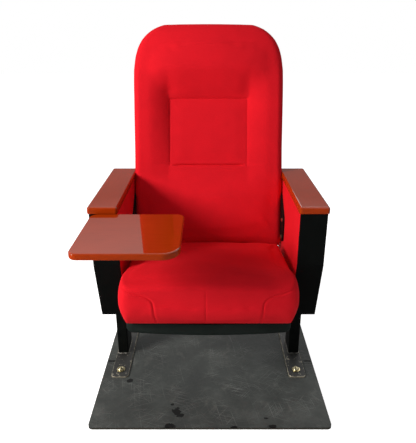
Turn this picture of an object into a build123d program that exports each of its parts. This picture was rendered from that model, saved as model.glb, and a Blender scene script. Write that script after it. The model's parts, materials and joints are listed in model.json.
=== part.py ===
from build123d import *
import math
import os

os.makedirs("parts", exist_ok=True)

# Tip-up auditorium seat with a writing tablet, bolted to its own mat-covered steel plate.
# Millimetres. The origin is on the floor, midway between the two legs and under their middle.
# +X is the sitter's left, +Y is behind the seat and +Z is up. At rest the seat is down and the
# tablet is out over the lap. Left and right are the sitter's own.

SIDES = (("right", -1), ("left", 1))

# ---------------------------------------------------------------- clearances
pin_fit = 0.05  # radial, a pin that turns in its bush or housing
screw_fit = 0.1  # radial, a screw or bolt in its hole
stop_gap = 0.3  # between a stop and what lands on it

# ---------------------------------------------------------------- floor plate and mat
plate_width = 716
plate_centre = 4  # the plate lies a little to one side of the seat
plate_depth = 700
plate_thickness = 6
plate_front = -385
plate_corner = 14
mat_thickness = 3
mat_gap = 1.5  # round each foot plate
slit_width = 2
slit_y = -90

# ---------------------------------------------------------------- feet and legs
foot_centre = 297
foot_width = 57
foot_depth = 330
foot_thickness = 8
foot_corner = 9
anchor_y = 130
anchor_radius = 6
anchor_head_radius = 10.5
anchor_head_height = 8
anchor_washer_radius = 14
anchor_washer_thickness = 2.5
leg_centre = 303
leg_width = 36
leg_depth = 80
leg_wall = 2.5
leg_corner = 4
foot_top = plate_thickness + foot_thickness
leg_inner_face = leg_centre - leg_width / 2

# ---------------------------------------------------------------- armrests
arm_centre = 290
arm_width = 84
arm_length = 410
arm_thickness = 20
arm_front = -250
arm_top = 642
arm_edge = 6
arm_corner = 7
arm_bottom = arm_top - arm_thickness
rail_thickness = 5
rail_inset = 55  # the rail stands in from the armrest's ends
rail_length = arm_length - 2 * rail_inset
rail_middle_y = arm_front + arm_length / 2
arm_screw_radius = 2.5
arm_screw_inset = 30  # from the rail's ends
arm_screw_spacing = rail_length - 2 * arm_screw_inset
arm_screw_depth = 12
arm_screw_head_height = 3

# ---------------------------------------------------------------- side boxes
box_inner = 252  # |x| of the inner face
box_outer = 328  # |x| of the outer face
box_front = -246
box_kink_z = 466  # above it the front is upright, below it leans back
box_foot_front = -195
box_foot_rear = 95
box_rear_overhang = 15  # of the armrest behind the box
box_rear = arm_front + arm_length - box_rear_overhang
box_bottom = 272
panel_thickness = 6
cover_thickness = 3
cover_flange = 14
cover_flange_thickness = 2
cover_flange_reach = 30  # from the box's front or rear
cover_edge = 1.2
front_joint_y = -165
rear_joint_y = 65
cover_screw_radius = 2
cover_screw_head_radius = 4.5
cover_screw_head_height = 2.2
cover_screw_inset = 24  # from the kink and from the armrest
cover_screw_reach = 8  # past the cover
leg_opening_gap = 0.5

# ---------------------------------------------------------------- seat pivot
pivot_y = -65
pivot_z = 350
tip_angle = 75
pin_radius = 8
pin_thread_radius = 7
pin_collar_radius = 12
pin_collar_thickness = 4
bracket_thickness = 6
bracket_front = -125
bracket_rear = 30
bracket_bottom = 284
bracket_top = 385
bracket_corner = 8
hub_radius = 13
hub_length = 22
bush_radius = 10.5
panel_hole_radius = 17
arm_plate = 5  # thickness of the seat's side arms
arm_plate_gap = 2.5  # between a seat arm and the box beside it
eye_radius = 21
ring_thickness = 1.1
ring_radius = 11.5
ring_gap = 5  # the ring is open at the top
ring_play = 0.2
pin_tip = 0.4  # of the pin past its ring
nut_height = 8
nut_across = 22
stop_radius = 60  # from the pivot to the stop pin
stop_direction = 240  # degrees from +Y towards +Z, seen along -X
stop_pin_radius = 5
stop_sleeve_radius = 7
spring_wire = 1.3
spring_turns = 4
spring_pitch = 2.9
spring_leg = 24
spring_play = 1  # from the box's panel to the first turn
seat_arm_outer = box_inner - arm_plate_gap
seat_arm_inner = seat_arm_outer - arm_plate
bracket_inner_face = leg_inner_face - bracket_thickness
hub_end = seat_arm_outer + hub_length
spring_mean_radius = hub_radius + spring_wire + 0.35
stop_y = pivot_y + stop_radius * math.cos(math.radians(stop_direction))
stop_z = pivot_z + stop_radius * math.sin(math.radians(stop_direction))

# ---------------------------------------------------------------- seat
pan_half_width = 240
pan_front = -312
pan_rear = 18
pan_bottom = 270
pan_top = 312
pan_wall = 4
pan_front_bow = 16  # how far the middle of the front stands ahead of its corners
pan_front_corner = 24
pan_rear_corner = 22
pan_edge = 14
seat_tube = 16
frame_top = 308
seat_arm_foot_front = -215
seat_arm_foot_rear = -120
seat_arm_shoulder = 60  # behind the foot's front end, where the arm's top edge starts to rise
seat_arm_rise = 14
arm_bolt_radius = 4
arm_bolt_rear_y = -135
arm_bolt_spacing = 60
arm_boss_radius = 5
arm_bolt_grip = 14
pan_screw_radius = 2
pan_screw_head_height = 2
pan_screw_reach = 10  # into the frame
pan_post_radius = 6
pan_post_spacing = 150
pan_post_inset = 24
frame_inset = 2  # the seat's frame stands in from the pan's wall
wire_inset = 6
seat_wire = 1.75
seat_wire_count = 5
seat_wire_spacing = 72
seat_wire_swing = 17
seat_wire_step = 26
seat_wire_bend = 9
frame_bottom = frame_top - seat_tube
frame_half_width = pan_half_width - pan_wall
frame_middle_z = (frame_bottom + frame_top) / 2

# ---------------------------------------------------------------- back
back_lean = 14.5  # degrees from upright
back_foot_y = 30.8  # front of the cushion's lower edge
back_foot_z = 412
back_height = 727  # along the lean
back_half_width = 243.5
back_cushion_depth = 55  # front reference plane to the shell's rim
shell_half_width = 236
shell_depth = 33
shell_wall = 3
shell_inset = 10  # the shell stands in from the cushion's ends
shell_edge = 12
shell_shoulder = 150  # below the shell's top, where its sides start to turn in
shell_shoulder_drop = 62
shell_shoulder_turn = 18
shell_top_inset = 92
shell_foot_corner = 40
shell_screw_x = 190
shell_screw_places_along = (100, 390, 530)
shell_screw_reach = 6
back_tube = 20
back_frame_foot = 60
back_frame_top = 560
back_frame_bar = 330
back_plate_thickness = 6
back_bolt_radius = 4
back_bolt_low = 90
back_bolt_high = 160
leg_bolt_y = 24
leg_bolt_low_z = 440
leg_bolt_high_z = 500
back_plate_radius = 16
back_boss_radius = 8
back_ear_along = 208  # the top of the back's side plates
back_bolt_head_radius = 7
back_bolt_head_height = 3.5
spacer_radius = 9
recess_foot = 265  # floor of the pressed-in panel, along the lean
recess_top = 488
recess_half_width = 130
recess_floor = 6  # behind the front plane
recess_corner = 14
recess_rim = 20  # ahead of the front plane
recess_rim_foot = 249
recess_rim_top = 532
recess_rim_half_width = 169
recess_rim_corner = 40
crease_depth = 5
crease_width = 5
crease_inset = 8

# ---------------------------------------------------------------- tablet
tablet_outer = -318
tablet_inner = -64
tablet_front = -512
tablet_rear = -256
tablet_top_z = 626
tablet_thickness = 17
tablet_corner = 22
tablet_front_corner = 45
tablet_edge = 4
swing_x = -297
swing_y = -262
swing_z = 562
spindle_radius = 7
housing_radius = 14
housing_length = 40
housing_plate_length = 36
housing_plate_width = 50
housing_plate_thickness = 5
housing_bolt_spacing = 39
housing_bolt_radius = 3
housing_bolt_head_radius = 5
housing_bolt_head_height = 3
housing_bolt_reach = 8  # past the cover
friction_washer = 1.2
tablet_washer_radius = 12
tablet_nut_height = 9
tablet_nut_across = 19
spindle_tip = 2  # of the spindle past its nut
strut_start = 1.6  # from the housing's end to the tablet arm
strut_thickness = 12
strut_width = 22
tablet_plate_thickness = 5
tablet_plate_outer = -305
tablet_plate_inner = -140
tablet_plate_front = -342
tablet_plate_rear = -259
tablet_screw_radius = 2.5
tablet_screw_depth = 9
tablet_screw_head_height = 2
tablet_screw_inset = 14
tablet_screw_outer = -245
tablet_plate_corner = 10
strut_eye = 2  # of metal round the strut's eye, past the strut's width
tablet_bottom_z = tablet_top_z - tablet_thickness
tablet_plate_bottom = tablet_bottom_z - tablet_plate_thickness


def finish(piece, name):
    """Names a finished piece and writes it."""
    piece.part.label = name
    export_step(piece.part, f"parts/{name}.step")


# ================================================================ floor plate and mat
with BuildSketch() as floor_outline:
    with Locations((plate_centre, plate_front + plate_depth / 2)):
        RectangleRounded(plate_width, plate_depth, plate_corner)

anchor_places = [(side * foot_centre, y) for _, side in SIDES for y in (-anchor_y, anchor_y)]

with BuildPart() as base_plate:
    with BuildSketch(Plane.XY):
        add(floor_outline.sketch)
        with Locations(*anchor_places):
            Circle(anchor_radius + screw_fit, mode=Mode.SUBTRACT)
    extrude(amount=plate_thickness)
finish(base_plate, "base_plate")

with BuildPart() as floor_mat:
    with BuildSketch(Plane.XY.offset(plate_thickness)):
        add(floor_outline.sketch)
        for _, side in SIDES:
            slit_length = plate_width / 2 + side * plate_centre - foot_centre
            with Locations((side * foot_centre, 0)):
                RectangleRounded(
                    foot_width + 2 * mat_gap,
                    foot_depth + 2 * mat_gap,
                    foot_corner + mat_gap,
                    mode=Mode.SUBTRACT,
                )
            with Locations((side * (foot_centre + slit_length / 2), slit_y)):
                Rectangle(slit_length, slit_width, mode=Mode.SUBTRACT)
    extrude(amount=mat_thickness)
finish(floor_mat, "floor_mat")

# ================================================================ feet and legs
for name, side in SIDES:
    with BuildPart() as foot_plate:
        with BuildSketch(Plane.XY.offset(plate_thickness)):
            with Locations((side * foot_centre, 0)):
                RectangleRounded(foot_width, foot_depth, foot_corner)
            with Locations((side * foot_centre, -anchor_y), (side * foot_centre, anchor_y)):
                Circle(anchor_radius + screw_fit, mode=Mode.SUBTRACT)
        extrude(amount=foot_thickness)
        top_outline = foot_plate.faces().sort_by(Axis.Z)[-1].outer_wire().edges()
        chamfer(top_outline, 1)
    finish(foot_plate, f"foot_plate_{name}")

    with BuildPart() as leg:
        with BuildSketch(Plane.XY.offset(foot_top)):
            with Locations((side * leg_centre, 0)):
                RectangleRounded(leg_width, leg_depth, leg_corner)
                RectangleRounded(
                    leg_width - 2 * leg_wall,
                    leg_depth - 2 * leg_wall,
                    leg_corner - leg_wall,
                    mode=Mode.SUBTRACT,
                )
        extrude(amount=arm_bottom - rail_thickness - foot_top)
        for bolt_z in (leg_bolt_low_z, leg_bolt_high_z):
            with BuildSketch(Plane.YZ.offset(side * leg_inner_face)):
                with Locations((leg_bolt_y, bolt_z)):
                    Circle(back_bolt_radius + screw_fit)
            extrude(amount=side * leg_wall, mode=Mode.SUBTRACT)
    finish(leg, f"leg_{name}")

with BuildPart() as anchor_washers:
    with BuildSketch(Plane.XY.offset(foot_top)):
        with Locations(*anchor_places):
            Circle(anchor_washer_radius)
            Circle(anchor_radius + screw_fit, mode=Mode.SUBTRACT)
    extrude(amount=anchor_washer_thickness)
finish(anchor_washers, "anchor_washers")

# A low dome on a round shank, with a slot across the dome.
head_foot = foot_top + anchor_washer_thickness
with BuildPart() as anchor_bolts:
    for bolt_x, bolt_y in anchor_places:
        with BuildSketch(Plane.XZ.offset(-bolt_y)):
            with BuildLine():
                Line((bolt_x, 0), (bolt_x + anchor_radius, 0))
                Line((bolt_x + anchor_radius, 0), (bolt_x + anchor_radius, head_foot))
                Line((bolt_x + anchor_radius, head_foot), (bolt_x + anchor_head_radius, head_foot))
                Line(
                    (bolt_x + anchor_head_radius, head_foot),
                    (bolt_x + anchor_head_radius, head_foot + anchor_head_height * 0.35),
                )
                ThreePointArc(
                    (bolt_x + anchor_head_radius, head_foot + anchor_head_height * 0.35),
                    (bolt_x + anchor_head_radius * 0.64, head_foot + anchor_head_height * 0.83),
                    (bolt_x, head_foot + anchor_head_height),
                )
                Line((bolt_x, head_foot + anchor_head_height), (bolt_x, 0))
            make_face()
        revolve(axis=Axis((bolt_x, bolt_y, 0), (0, 0, 1)))
        with BuildSketch(Plane.XY.offset(head_foot + anchor_head_height)):
            with Locations((bolt_x, bolt_y)):
                Rectangle(anchor_head_radius * 1.1, 2, rotation=35)
        extrude(amount=-2.5, mode=Mode.SUBTRACT)
finish(anchor_bolts, "anchor_bolts")

# ================================================================ armrests
arm_screw_ys = [rail_middle_y - arm_screw_spacing / 2, rail_middle_y + arm_screw_spacing / 2]

for name, side in SIDES:
    with BuildPart() as arm_rail:
        with BuildSketch(Plane.XY.offset(arm_bottom - rail_thickness)):
            with Locations((side * leg_centre, rail_middle_y)):
                RectangleRounded(leg_width, rail_length, leg_corner)
            with Locations(*[(side * leg_centre, y) for y in arm_screw_ys]):
                Circle(arm_screw_radius + screw_fit, mode=Mode.SUBTRACT)
        extrude(amount=rail_thickness)
    finish(arm_rail, f"arm_rail_{name}")

    with BuildPart() as armrest:
        with BuildSketch(Plane.XY.offset(arm_bottom)):
            with Locations((side * arm_centre, arm_front + arm_length / 2)):
                RectangleRounded(arm_width, arm_length, arm_corner)
        extrude(amount=arm_thickness)
        fillet(armrest.faces().sort_by(Axis.Z)[-1].edges(), arm_edge)
        fillet(armrest.faces().sort_by(Axis.Z)[0].edges(), arm_edge / 2)
        with BuildSketch(Plane.XY.offset(arm_bottom)):
            with Locations(*[(side * leg_centre, y) for y in arm_screw_ys]):
                Circle(arm_screw_radius + screw_fit)
        extrude(amount=arm_screw_depth + screw_fit, mode=Mode.SUBTRACT)
    finish(armrest, f"armrest_{name}")

with BuildPart() as armrest_screws:
    for _, side in SIDES:
        screw_places = [(side * leg_centre, y) for y in arm_screw_ys]
        with BuildSketch(Plane.XY.offset(arm_bottom - rail_thickness - arm_screw_head_height)):
            with Locations(*screw_places):
                Circle(2 * arm_screw_radius)
        extrude(amount=arm_screw_head_height)
        with BuildSketch(Plane.XY.offset(arm_bottom - rail_thickness)):
            with Locations(*screw_places):
                Circle(arm_screw_radius)
        extrude(amount=rail_thickness + arm_screw_depth)
finish(armrest_screws, "armrest_screws")

# ================================================================ side boxes
# The box is seen from the side. Its outline runs a cover's thickness over the top, so that the
# outline drawn in by that thickness ends level with the underside of the armrest.
over_top = arm_bottom + cover_thickness
with BuildSketch() as box_outline:
    Polygon(
        (box_front, over_top),
        (box_front, box_kink_z),
        (box_foot_front, box_bottom),
        (box_foot_rear, box_bottom),
        (box_rear, box_kink_z),
        (box_rear, over_top),
        align=None,
    )

with BuildSketch() as panel_outline:
    add(box_outline.sketch)
    offset(amount=-cover_thickness, kind=Kind.INTERSECTION)

with BuildSketch() as flange_limit:
    add(box_outline.sketch)
    offset(amount=-cover_thickness - cover_flange, kind=Kind.INTERSECTION)

box_height = over_top - box_bottom


def band(outer, inner, from_y, to_y):
    """The strip between two side outlines, between two upright lines and below the armrest."""
    with BuildSketch() as strip:
        add(outer.sketch)
        add(inner.sketch, mode=Mode.SUBTRACT)
        with Locations(((from_y + to_y) / 2, arm_bottom - box_height / 2)):
            Rectangle(to_y - from_y, box_height, mode=Mode.INTERSECT)
    return strip.sketch


front_web = band(box_outline, panel_outline, box_front - 1, front_joint_y)
front_flange = band(panel_outline, flange_limit, box_front, box_front + cover_flange_reach)
foot_web = band(box_outline, panel_outline, front_joint_y, rear_joint_y)
rear_web = band(box_outline, panel_outline, rear_joint_y, box_rear + 1)
rear_flange = band(panel_outline, flange_limit, box_rear - cover_flange_reach, box_rear)
panel_faces = (("inner_panel", box_inner), ("outer_panel", box_outer - panel_thickness))
inner_flange_face = box_inner + panel_thickness
outer_flange_face = box_outer - panel_thickness - cover_flange_thickness
cover_shapes = (
    ("front_cover", box_front, front_web, front_flange),
    ("rear_cover", box_rear, rear_web, rear_flange),
)
slant_height = box_kink_z - box_bottom
cover_screw_zs = (box_kink_z + cover_screw_inset, arm_bottom - cover_screw_inset)
leg_opening_width = leg_width + 2 * leg_opening_gap
leg_opening_depth = leg_depth + 2 * leg_opening_gap

for name, side in SIDES:
    for panel_name, panel_face in panel_faces:
        with BuildPart() as panel:
            with BuildSketch(Plane.YZ.offset(side * panel_face)):
                add(panel_outline.sketch)
                if panel_name == "inner_panel":
                    with Locations((pivot_y, pivot_z)):
                        Circle(panel_hole_radius, mode=Mode.SUBTRACT)
                    with Locations((stop_y, stop_z)):
                        Circle(stop_pin_radius + screw_fit, mode=Mode.SUBTRACT)
                    with Locations((leg_bolt_y, leg_bolt_low_z), (leg_bolt_y, leg_bolt_high_z)):
                        Circle(back_bolt_radius + screw_fit, mode=Mode.SUBTRACT)
            extrude(amount=side * panel_thickness)
        finish(panel, f"{panel_name}_{name}")

    # A bent cover: its web is as wide as the box, and two flanges lie against the boards inside.
    for cover_name, end_y, web, flange in cover_shapes:
        with BuildPart() as cover:
            with BuildSketch(Plane.YZ.offset(side * box_inner)):
                add(web)
            extrude(amount=side * (box_outer - box_inner))
            end_edges = [edge for edge in cover.edges() if abs(edge.position_at(0.5).Y - end_y) < 0.01]
            upright_edges = [edge for edge in end_edges if abs(edge.tangent_at(0.5).Z) > 0.99]
            fillet([edge for edge in upright_edges if edge.length > slant_height / 2], cover_edge)
            for flange_face in (inner_flange_face, outer_flange_face):
                with BuildSketch(Plane.YZ.offset(side * flange_face)):
                    add(flange)
                extrude(amount=side * cover_flange_thickness)
            if cover_name == "rear_cover":
                with BuildSketch(Plane.XZ.offset(-box_rear)):
                    with Locations(*[(side * arm_centre, z) for z in cover_screw_zs]):
                        Circle(cover_screw_radius + screw_fit)
                extrude(amount=cover_thickness, mode=Mode.SUBTRACT)
            if cover_name == "front_cover" and name == "right":
                with BuildSketch(Plane.XZ.offset(-box_front)):
                    for end in (-1, 1):
                        reach = end * housing_bolt_spacing / 2 / math.sqrt(2)
                        with Locations((swing_x + reach, swing_z + reach)):
                            Circle(housing_bolt_radius + screw_fit)
                extrude(amount=-cover_thickness, mode=Mode.SUBTRACT)
        finish(cover, f"{cover_name}_{name}")

    with BuildPart() as bottom_cover:
        with BuildSketch(Plane.YZ.offset(side * box_inner)):
            add(foot_web)
        extrude(amount=side * (box_outer - box_inner))
        with BuildSketch(Plane.XY.offset(box_bottom)):
            with Locations((side * leg_centre, 0)):
                RectangleRounded(leg_opening_width, leg_opening_depth, leg_corner)
        extrude(amount=cover_thickness, mode=Mode.SUBTRACT)
    finish(bottom_cover, f"bottom_cover_{name}")

with BuildPart() as cover_screws:
    for _, side in SIDES:
        screw_places = [(side * arm_centre, z) for z in cover_screw_zs]
        with BuildSketch(Plane.XZ.offset(-box_rear)):
            with Locations(*screw_places):
                Circle(cover_screw_head_radius)
        extrude(amount=-cover_screw_head_height)
        with BuildSketch(Plane.XZ.offset(-box_rear)):
            with Locations(*screw_places):
                Circle(cover_screw_radius)
        extrude(amount=cover_thickness + cover_screw_reach)
finish(cover_screws, "cover_screws")

# ================================================================ seat pivot, on the standards
for name, side in SIDES:
    with BuildPart() as pivot_bracket:
        with BuildSketch(Plane.YZ.offset(side * bracket_inner_face)):
            with Locations(((bracket_front + bracket_rear) / 2, (bracket_bottom + bracket_top) / 2)):
                RectangleRounded(bracket_rear - bracket_front, bracket_top - bracket_bottom, bracket_corner)
            with Locations((pivot_y, pivot_z)):
                Circle(pin_thread_radius + screw_fit, mode=Mode.SUBTRACT)
            with Locations((stop_y, stop_z)):
                Circle(stop_pin_radius, mode=Mode.SUBTRACT)
        extrude(amount=side * bracket_thickness)
    finish(pivot_bracket, f"pivot_bracket_{name}")

ring_face = seat_arm_inner - ring_play - ring_thickness
pin_end = ring_face - pin_tip
pin_steps = (
    (pin_end, ring_face, pin_radius),
    (ring_face, ring_face + ring_thickness, pin_radius - 1),
    (ring_face + ring_thickness, bracket_inner_face - pin_collar_thickness, pin_radius),
    (bracket_inner_face - pin_collar_thickness, bracket_inner_face, pin_collar_radius),
    (bracket_inner_face, leg_inner_face + nut_height + 2, pin_thread_radius),
)
with BuildPart() as pivot_pins:
    for _, side in SIDES:
        for from_x, to_x, radius in pin_steps:
            with BuildSketch(Plane.YZ.offset(side * from_x)):
                with Locations((pivot_y, pivot_z)):
                    Circle(radius)
            extrude(amount=side * (to_x - from_x))
finish(pivot_pins, "pivot_pins")

with BuildPart() as pivot_rings:
    for _, side in SIDES:
        with BuildSketch(Plane.YZ.offset(side * ring_face)):
            with Locations((pivot_y, pivot_z)):
                Circle(ring_radius)
                Circle(pin_radius - 1 + pin_fit, mode=Mode.SUBTRACT)
            with Locations((pivot_y, pivot_z + ring_radius)):
                Rectangle(ring_gap, ring_radius, mode=Mode.SUBTRACT)
        extrude(amount=side * ring_thickness)
finish(pivot_rings, "pivot_rings")

with BuildPart() as pivot_nuts:
    for _, side in SIDES:
        with BuildSketch(Plane.YZ.offset(side * leg_inner_face)):
            with Locations((pivot_y, pivot_z)):
                RegularPolygon(nut_across / 2, 6, major_radius=False)
                Circle(pin_thread_radius + screw_fit, mode=Mode.SUBTRACT)
        extrude(amount=side * nut_height)
finish(pivot_nuts, "pivot_nuts")

with BuildPart() as stop_pins:
    for _, side in SIDES:
        with BuildSketch(Plane.YZ.offset(side * seat_arm_inner)):
            with Locations((stop_y, stop_z)):
                Circle(stop_pin_radius)
        extrude(amount=side * (leg_inner_face - seat_arm_inner))
finish(stop_pins, "stop_pins")

with BuildPart() as stop_sleeves:
    for _, side in SIDES:
        with BuildSketch(Plane.YZ.offset(side * seat_arm_inner)):
            with Locations((stop_y, stop_z)):
                Circle(stop_sleeve_radius)
                Circle(stop_pin_radius, mode=Mode.SUBTRACT)
        extrude(amount=side * (box_inner - seat_arm_inner - 0.5))
finish(stop_sleeves, "stop_sleeves")

# A torsion spring round each hub: its coils, and one straight leg at either end.
spring_foot = box_inner + panel_thickness + spring_wire + spring_play
for name, side in SIDES:
    coil_height = spring_turns * spring_pitch
    with BuildPart() as counter_spring:
        with BuildLine() as coil:
            Helix(
                spring_pitch,
                coil_height,
                spring_mean_radius,
                center=(side * spring_foot, pivot_y, pivot_z),
                direction=(side, 0, 0),
            )
        with BuildSketch(Plane(origin=coil.line @ 0, z_dir=coil.line % 0)):
            Circle(spring_wire)
        sweep(path=coil.line)
        for end, turn in ((0, -1), (1, 1)):
            with BuildSketch(Plane(origin=coil.line @ end, z_dir=(coil.line % end) * turn)):
                Circle(spring_wire)
            extrude(amount=spring_leg)
    finish(counter_spring, f"counter_spring_{name}")

# ================================================================ seat: arms, bushes, bolts
# Each arm is a plate in the gap between the cushion and the box. A sector is cut out of it round
# the stop pin, as wide as the tipping range: one edge lands on the pin with the seat down, the
# other with the seat up.
stop_half_angle = math.degrees(math.asin((stop_sleeve_radius + stop_gap) / stop_radius))
down_edge = stop_direction - stop_half_angle
up_edge = stop_direction + stop_half_angle + tip_angle
lobe_radius = stop_radius + 20


def around_pivot(radius, angle):
    """A point of the side view, by its distance and direction from the seat's pivot."""
    turn = math.radians(angle)
    return (pivot_y + radius * math.cos(turn), pivot_z + radius * math.sin(turn))


arm_bolt_ys = (arm_bolt_rear_y - arm_bolt_spacing, arm_bolt_rear_y)
arm_bolt_places = [(y, frame_middle_z) for y in arm_bolt_ys]

for name, side in SIDES:
    with BuildPart() as seat_arm:
        with BuildSketch(Plane.YZ.offset(side * seat_arm_inner)):
            Polygon(
                (pivot_y, pivot_z),
                around_pivot(lobe_radius, down_edge),
                (seat_arm_foot_rear, frame_bottom),
                (seat_arm_foot_front, frame_bottom),
                (seat_arm_foot_front, frame_top),
                (seat_arm_foot_front + seat_arm_shoulder, frame_top + seat_arm_rise),
                around_pivot(eye_radius, 110),
                align=None,
            )
            Polygon(
                (pivot_y, pivot_z),
                around_pivot(stop_radius + 12, up_edge),
                around_pivot(stop_radius + 12, up_edge + 24),
                around_pivot(eye_radius, up_edge + 60),
                align=None,
            )
            with Locations((pivot_y, pivot_z)):
                Circle(eye_radius)
                Circle(bush_radius, mode=Mode.SUBTRACT)
        extrude(amount=side * arm_plate)
        with BuildSketch(Plane.YZ.offset(side * seat_arm_outer)):
            with Locations((pivot_y, pivot_z)):
                Circle(hub_radius)
                Circle(bush_radius, mode=Mode.SUBTRACT)
        extrude(amount=side * hub_length)
        with BuildSketch(Plane.YZ.offset(side * pan_half_width)):
            with Locations(*arm_bolt_places):
                Circle(arm_boss_radius)
        extrude(amount=side * (seat_arm_inner - pan_half_width))
        with BuildSketch(Plane.YZ.offset(side * pan_half_width)):
            with Locations(*arm_bolt_places):
                Circle(arm_bolt_radius + screw_fit)
        extrude(amount=side * (seat_arm_outer - pan_half_width), mode=Mode.SUBTRACT)
        for y, z in arm_bolt_places:
            with Locations(Location((side * seat_arm_outer, y, z), (0, side * 90, 0))):
                CounterSinkHole(arm_bolt_radius + screw_fit, 2 * arm_bolt_radius + screw_fit, depth=arm_plate)
    finish(seat_arm, f"seat_arm_{name}")

with BuildPart() as pivot_bushes:
    for _, side in SIDES:
        with BuildSketch(Plane.YZ.offset(side * seat_arm_inner)):
            with Locations((pivot_y, pivot_z)):
                Circle(bush_radius)
                Circle(pin_radius + pin_fit, mode=Mode.SUBTRACT)
        extrude(amount=side * (hub_end - seat_arm_inner))
finish(pivot_bushes, "pivot_bushes")

with BuildPart() as seat_arm_bolts:
    for _, side in SIDES:
        for y, z in arm_bolt_places:
            bolt_face = Plane(origin=(side * seat_arm_outer, y, z), x_dir=(0, 1, 0), z_dir=(-side, 0, 0))
            with BuildSketch(bolt_face):
                Circle(2 * arm_bolt_radius)
            with BuildSketch(bolt_face.offset(arm_bolt_radius)):
                Circle(arm_bolt_radius)
            loft()
            with BuildSketch(bolt_face):
                Circle(arm_bolt_radius)
            extrude(amount=seat_arm_outer - frame_half_width + arm_bolt_grip)
finish(seat_arm_bolts, "seat_arm_bolts")


# ================================================================ seat: pan, frame, wires, cushion
def pan_plan(inset):
    """The pan seen from above, drawn in by a wall: bowed front, round corners."""
    half = pan_half_width - inset
    front = pan_front + inset
    rear = pan_rear - inset
    with BuildSketch() as plan:
        with BuildLine():
            corner_y = front + pan_front_bow
            ThreePointArc((-half, corner_y), (0, front), (half, corner_y))
            Line((half, corner_y), (half, rear))
            Line((half, rear), (-half, rear))
            Line((-half, rear), (-half, corner_y))
        make_face()
        fillet(plan.vertices().group_by(Axis.Y)[0], pan_front_corner - inset)
        fillet(plan.vertices().group_by(Axis.Y)[-1], pan_rear_corner - inset)
    return plan.sketch


pan_post_ys = (pan_front + pan_wall + pan_post_inset, pan_rear - pan_post_inset)
pan_post_places = [(post * pan_post_spacing, y) for post in (-1, 0, 1) for y in pan_post_ys]

with BuildPart() as pan_hollow:
    with BuildSketch(Plane.XY.offset(pan_bottom + pan_wall)):
        add(pan_plan(pan_wall))
    extrude(amount=pan_top - pan_bottom)
    fillet(pan_hollow.faces().sort_by(Axis.Z)[0].edges(), pan_edge - pan_wall)

with BuildPart() as seat_pan:
    with BuildSketch(Plane.XY.offset(pan_bottom)):
        add(pan_plan(0))
    extrude(amount=pan_top - pan_bottom)
    fillet(seat_pan.faces().sort_by(Axis.Z)[0].edges(), pan_edge)
    add(pan_hollow.part, mode=Mode.SUBTRACT)
    with BuildSketch(Plane.XY.offset(pan_bottom + pan_wall)):
        with Locations(*pan_post_places):
            Circle(pan_post_radius)
    extrude(amount=frame_bottom - pan_bottom - pan_wall)
    with BuildSketch(Plane.XY.offset(pan_bottom)):
        with Locations(*pan_post_places):
            Circle(pan_screw_radius + screw_fit)
    extrude(amount=frame_bottom - pan_bottom, mode=Mode.SUBTRACT)
    for _, side in SIDES:
        with BuildSketch(Plane.YZ.offset(side * frame_half_width)):
            with Locations(*arm_bolt_places):
                Circle(arm_bolt_radius + screw_fit)
        extrude(amount=side * pan_wall, mode=Mode.SUBTRACT)
finish(seat_pan, "seat_pan")

frame_front = pan_front + pan_wall + pan_front_bow + 2 * frame_inset
frame_rear = pan_rear - pan_wall - frame_inset
frame_length = frame_rear - frame_front
with BuildPart() as seat_frame:
    with BuildSketch(Plane.XY.offset(frame_bottom)):
        with Locations((0, (frame_front + frame_rear) / 2)):
            RectangleRounded(2 * frame_half_width, frame_length, pan_front_corner)
            Rectangle(2 * (frame_half_width - seat_tube), frame_length - 2 * seat_tube, mode=Mode.SUBTRACT)
    extrude(amount=seat_tube)
    for _, side in SIDES:
        with BuildSketch(Plane.YZ.offset(side * frame_half_width)):
            with Locations(*arm_bolt_places):
                Circle(arm_bolt_radius + screw_fit)
        extrude(amount=-side * arm_bolt_grip, mode=Mode.SUBTRACT)
    with BuildSketch(Plane.XY.offset(frame_bottom)):
        with Locations(*pan_post_places):
            Circle(pan_screw_radius)
    extrude(amount=pan_screw_reach, mode=Mode.SUBTRACT)
finish(seat_frame, "seat_frame")

with BuildPart() as pan_screws:
    with BuildSketch(Plane.XY.offset(pan_bottom - pan_screw_head_height)):
        with Locations(*pan_post_places):
            Circle(2 * pan_screw_radius)
    extrude(amount=pan_screw_head_height)
    with BuildSketch(Plane.XY.offset(pan_bottom)):
        with Locations(*pan_post_places):
            Circle(pan_screw_radius)
    extrude(amount=frame_bottom - pan_bottom + pan_screw_reach)
finish(pan_screws, "pan_screws")

# Sinuous wires run from the front rail to the rear rail and lie on both.
wire_steps = int((frame_length - seat_tube) / seat_wire_step) - 1
wire_start = (frame_front + frame_rear) / 2 - wire_steps * seat_wire_step / 2
with BuildPart() as seat_wires:
    for wire in range(seat_wire_count):
        wire_x = (wire - (seat_wire_count - 1) / 2) * seat_wire_spacing
        turns = [(wire_x, frame_front + wire_inset)]
        for step in range(wire_steps + 1):
            swing = seat_wire_swing * (1 if step % 2 else -1)
            turns.append((wire_x + swing, wire_start + step * seat_wire_step))
        turns.append((wire_x, frame_rear - wire_inset))
        with BuildLine(Plane.XY.offset(frame_top + seat_wire)) as zigzag:
            FilletPolyline(*turns, radius=seat_wire_bend)
        with BuildSketch(Plane(origin=zigzag.line @ 0, z_dir=zigzag.line % 0)):
            Circle(seat_wire)
        sweep(path=zigzag.line)
finish(seat_wires, "seat_wires")

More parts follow.
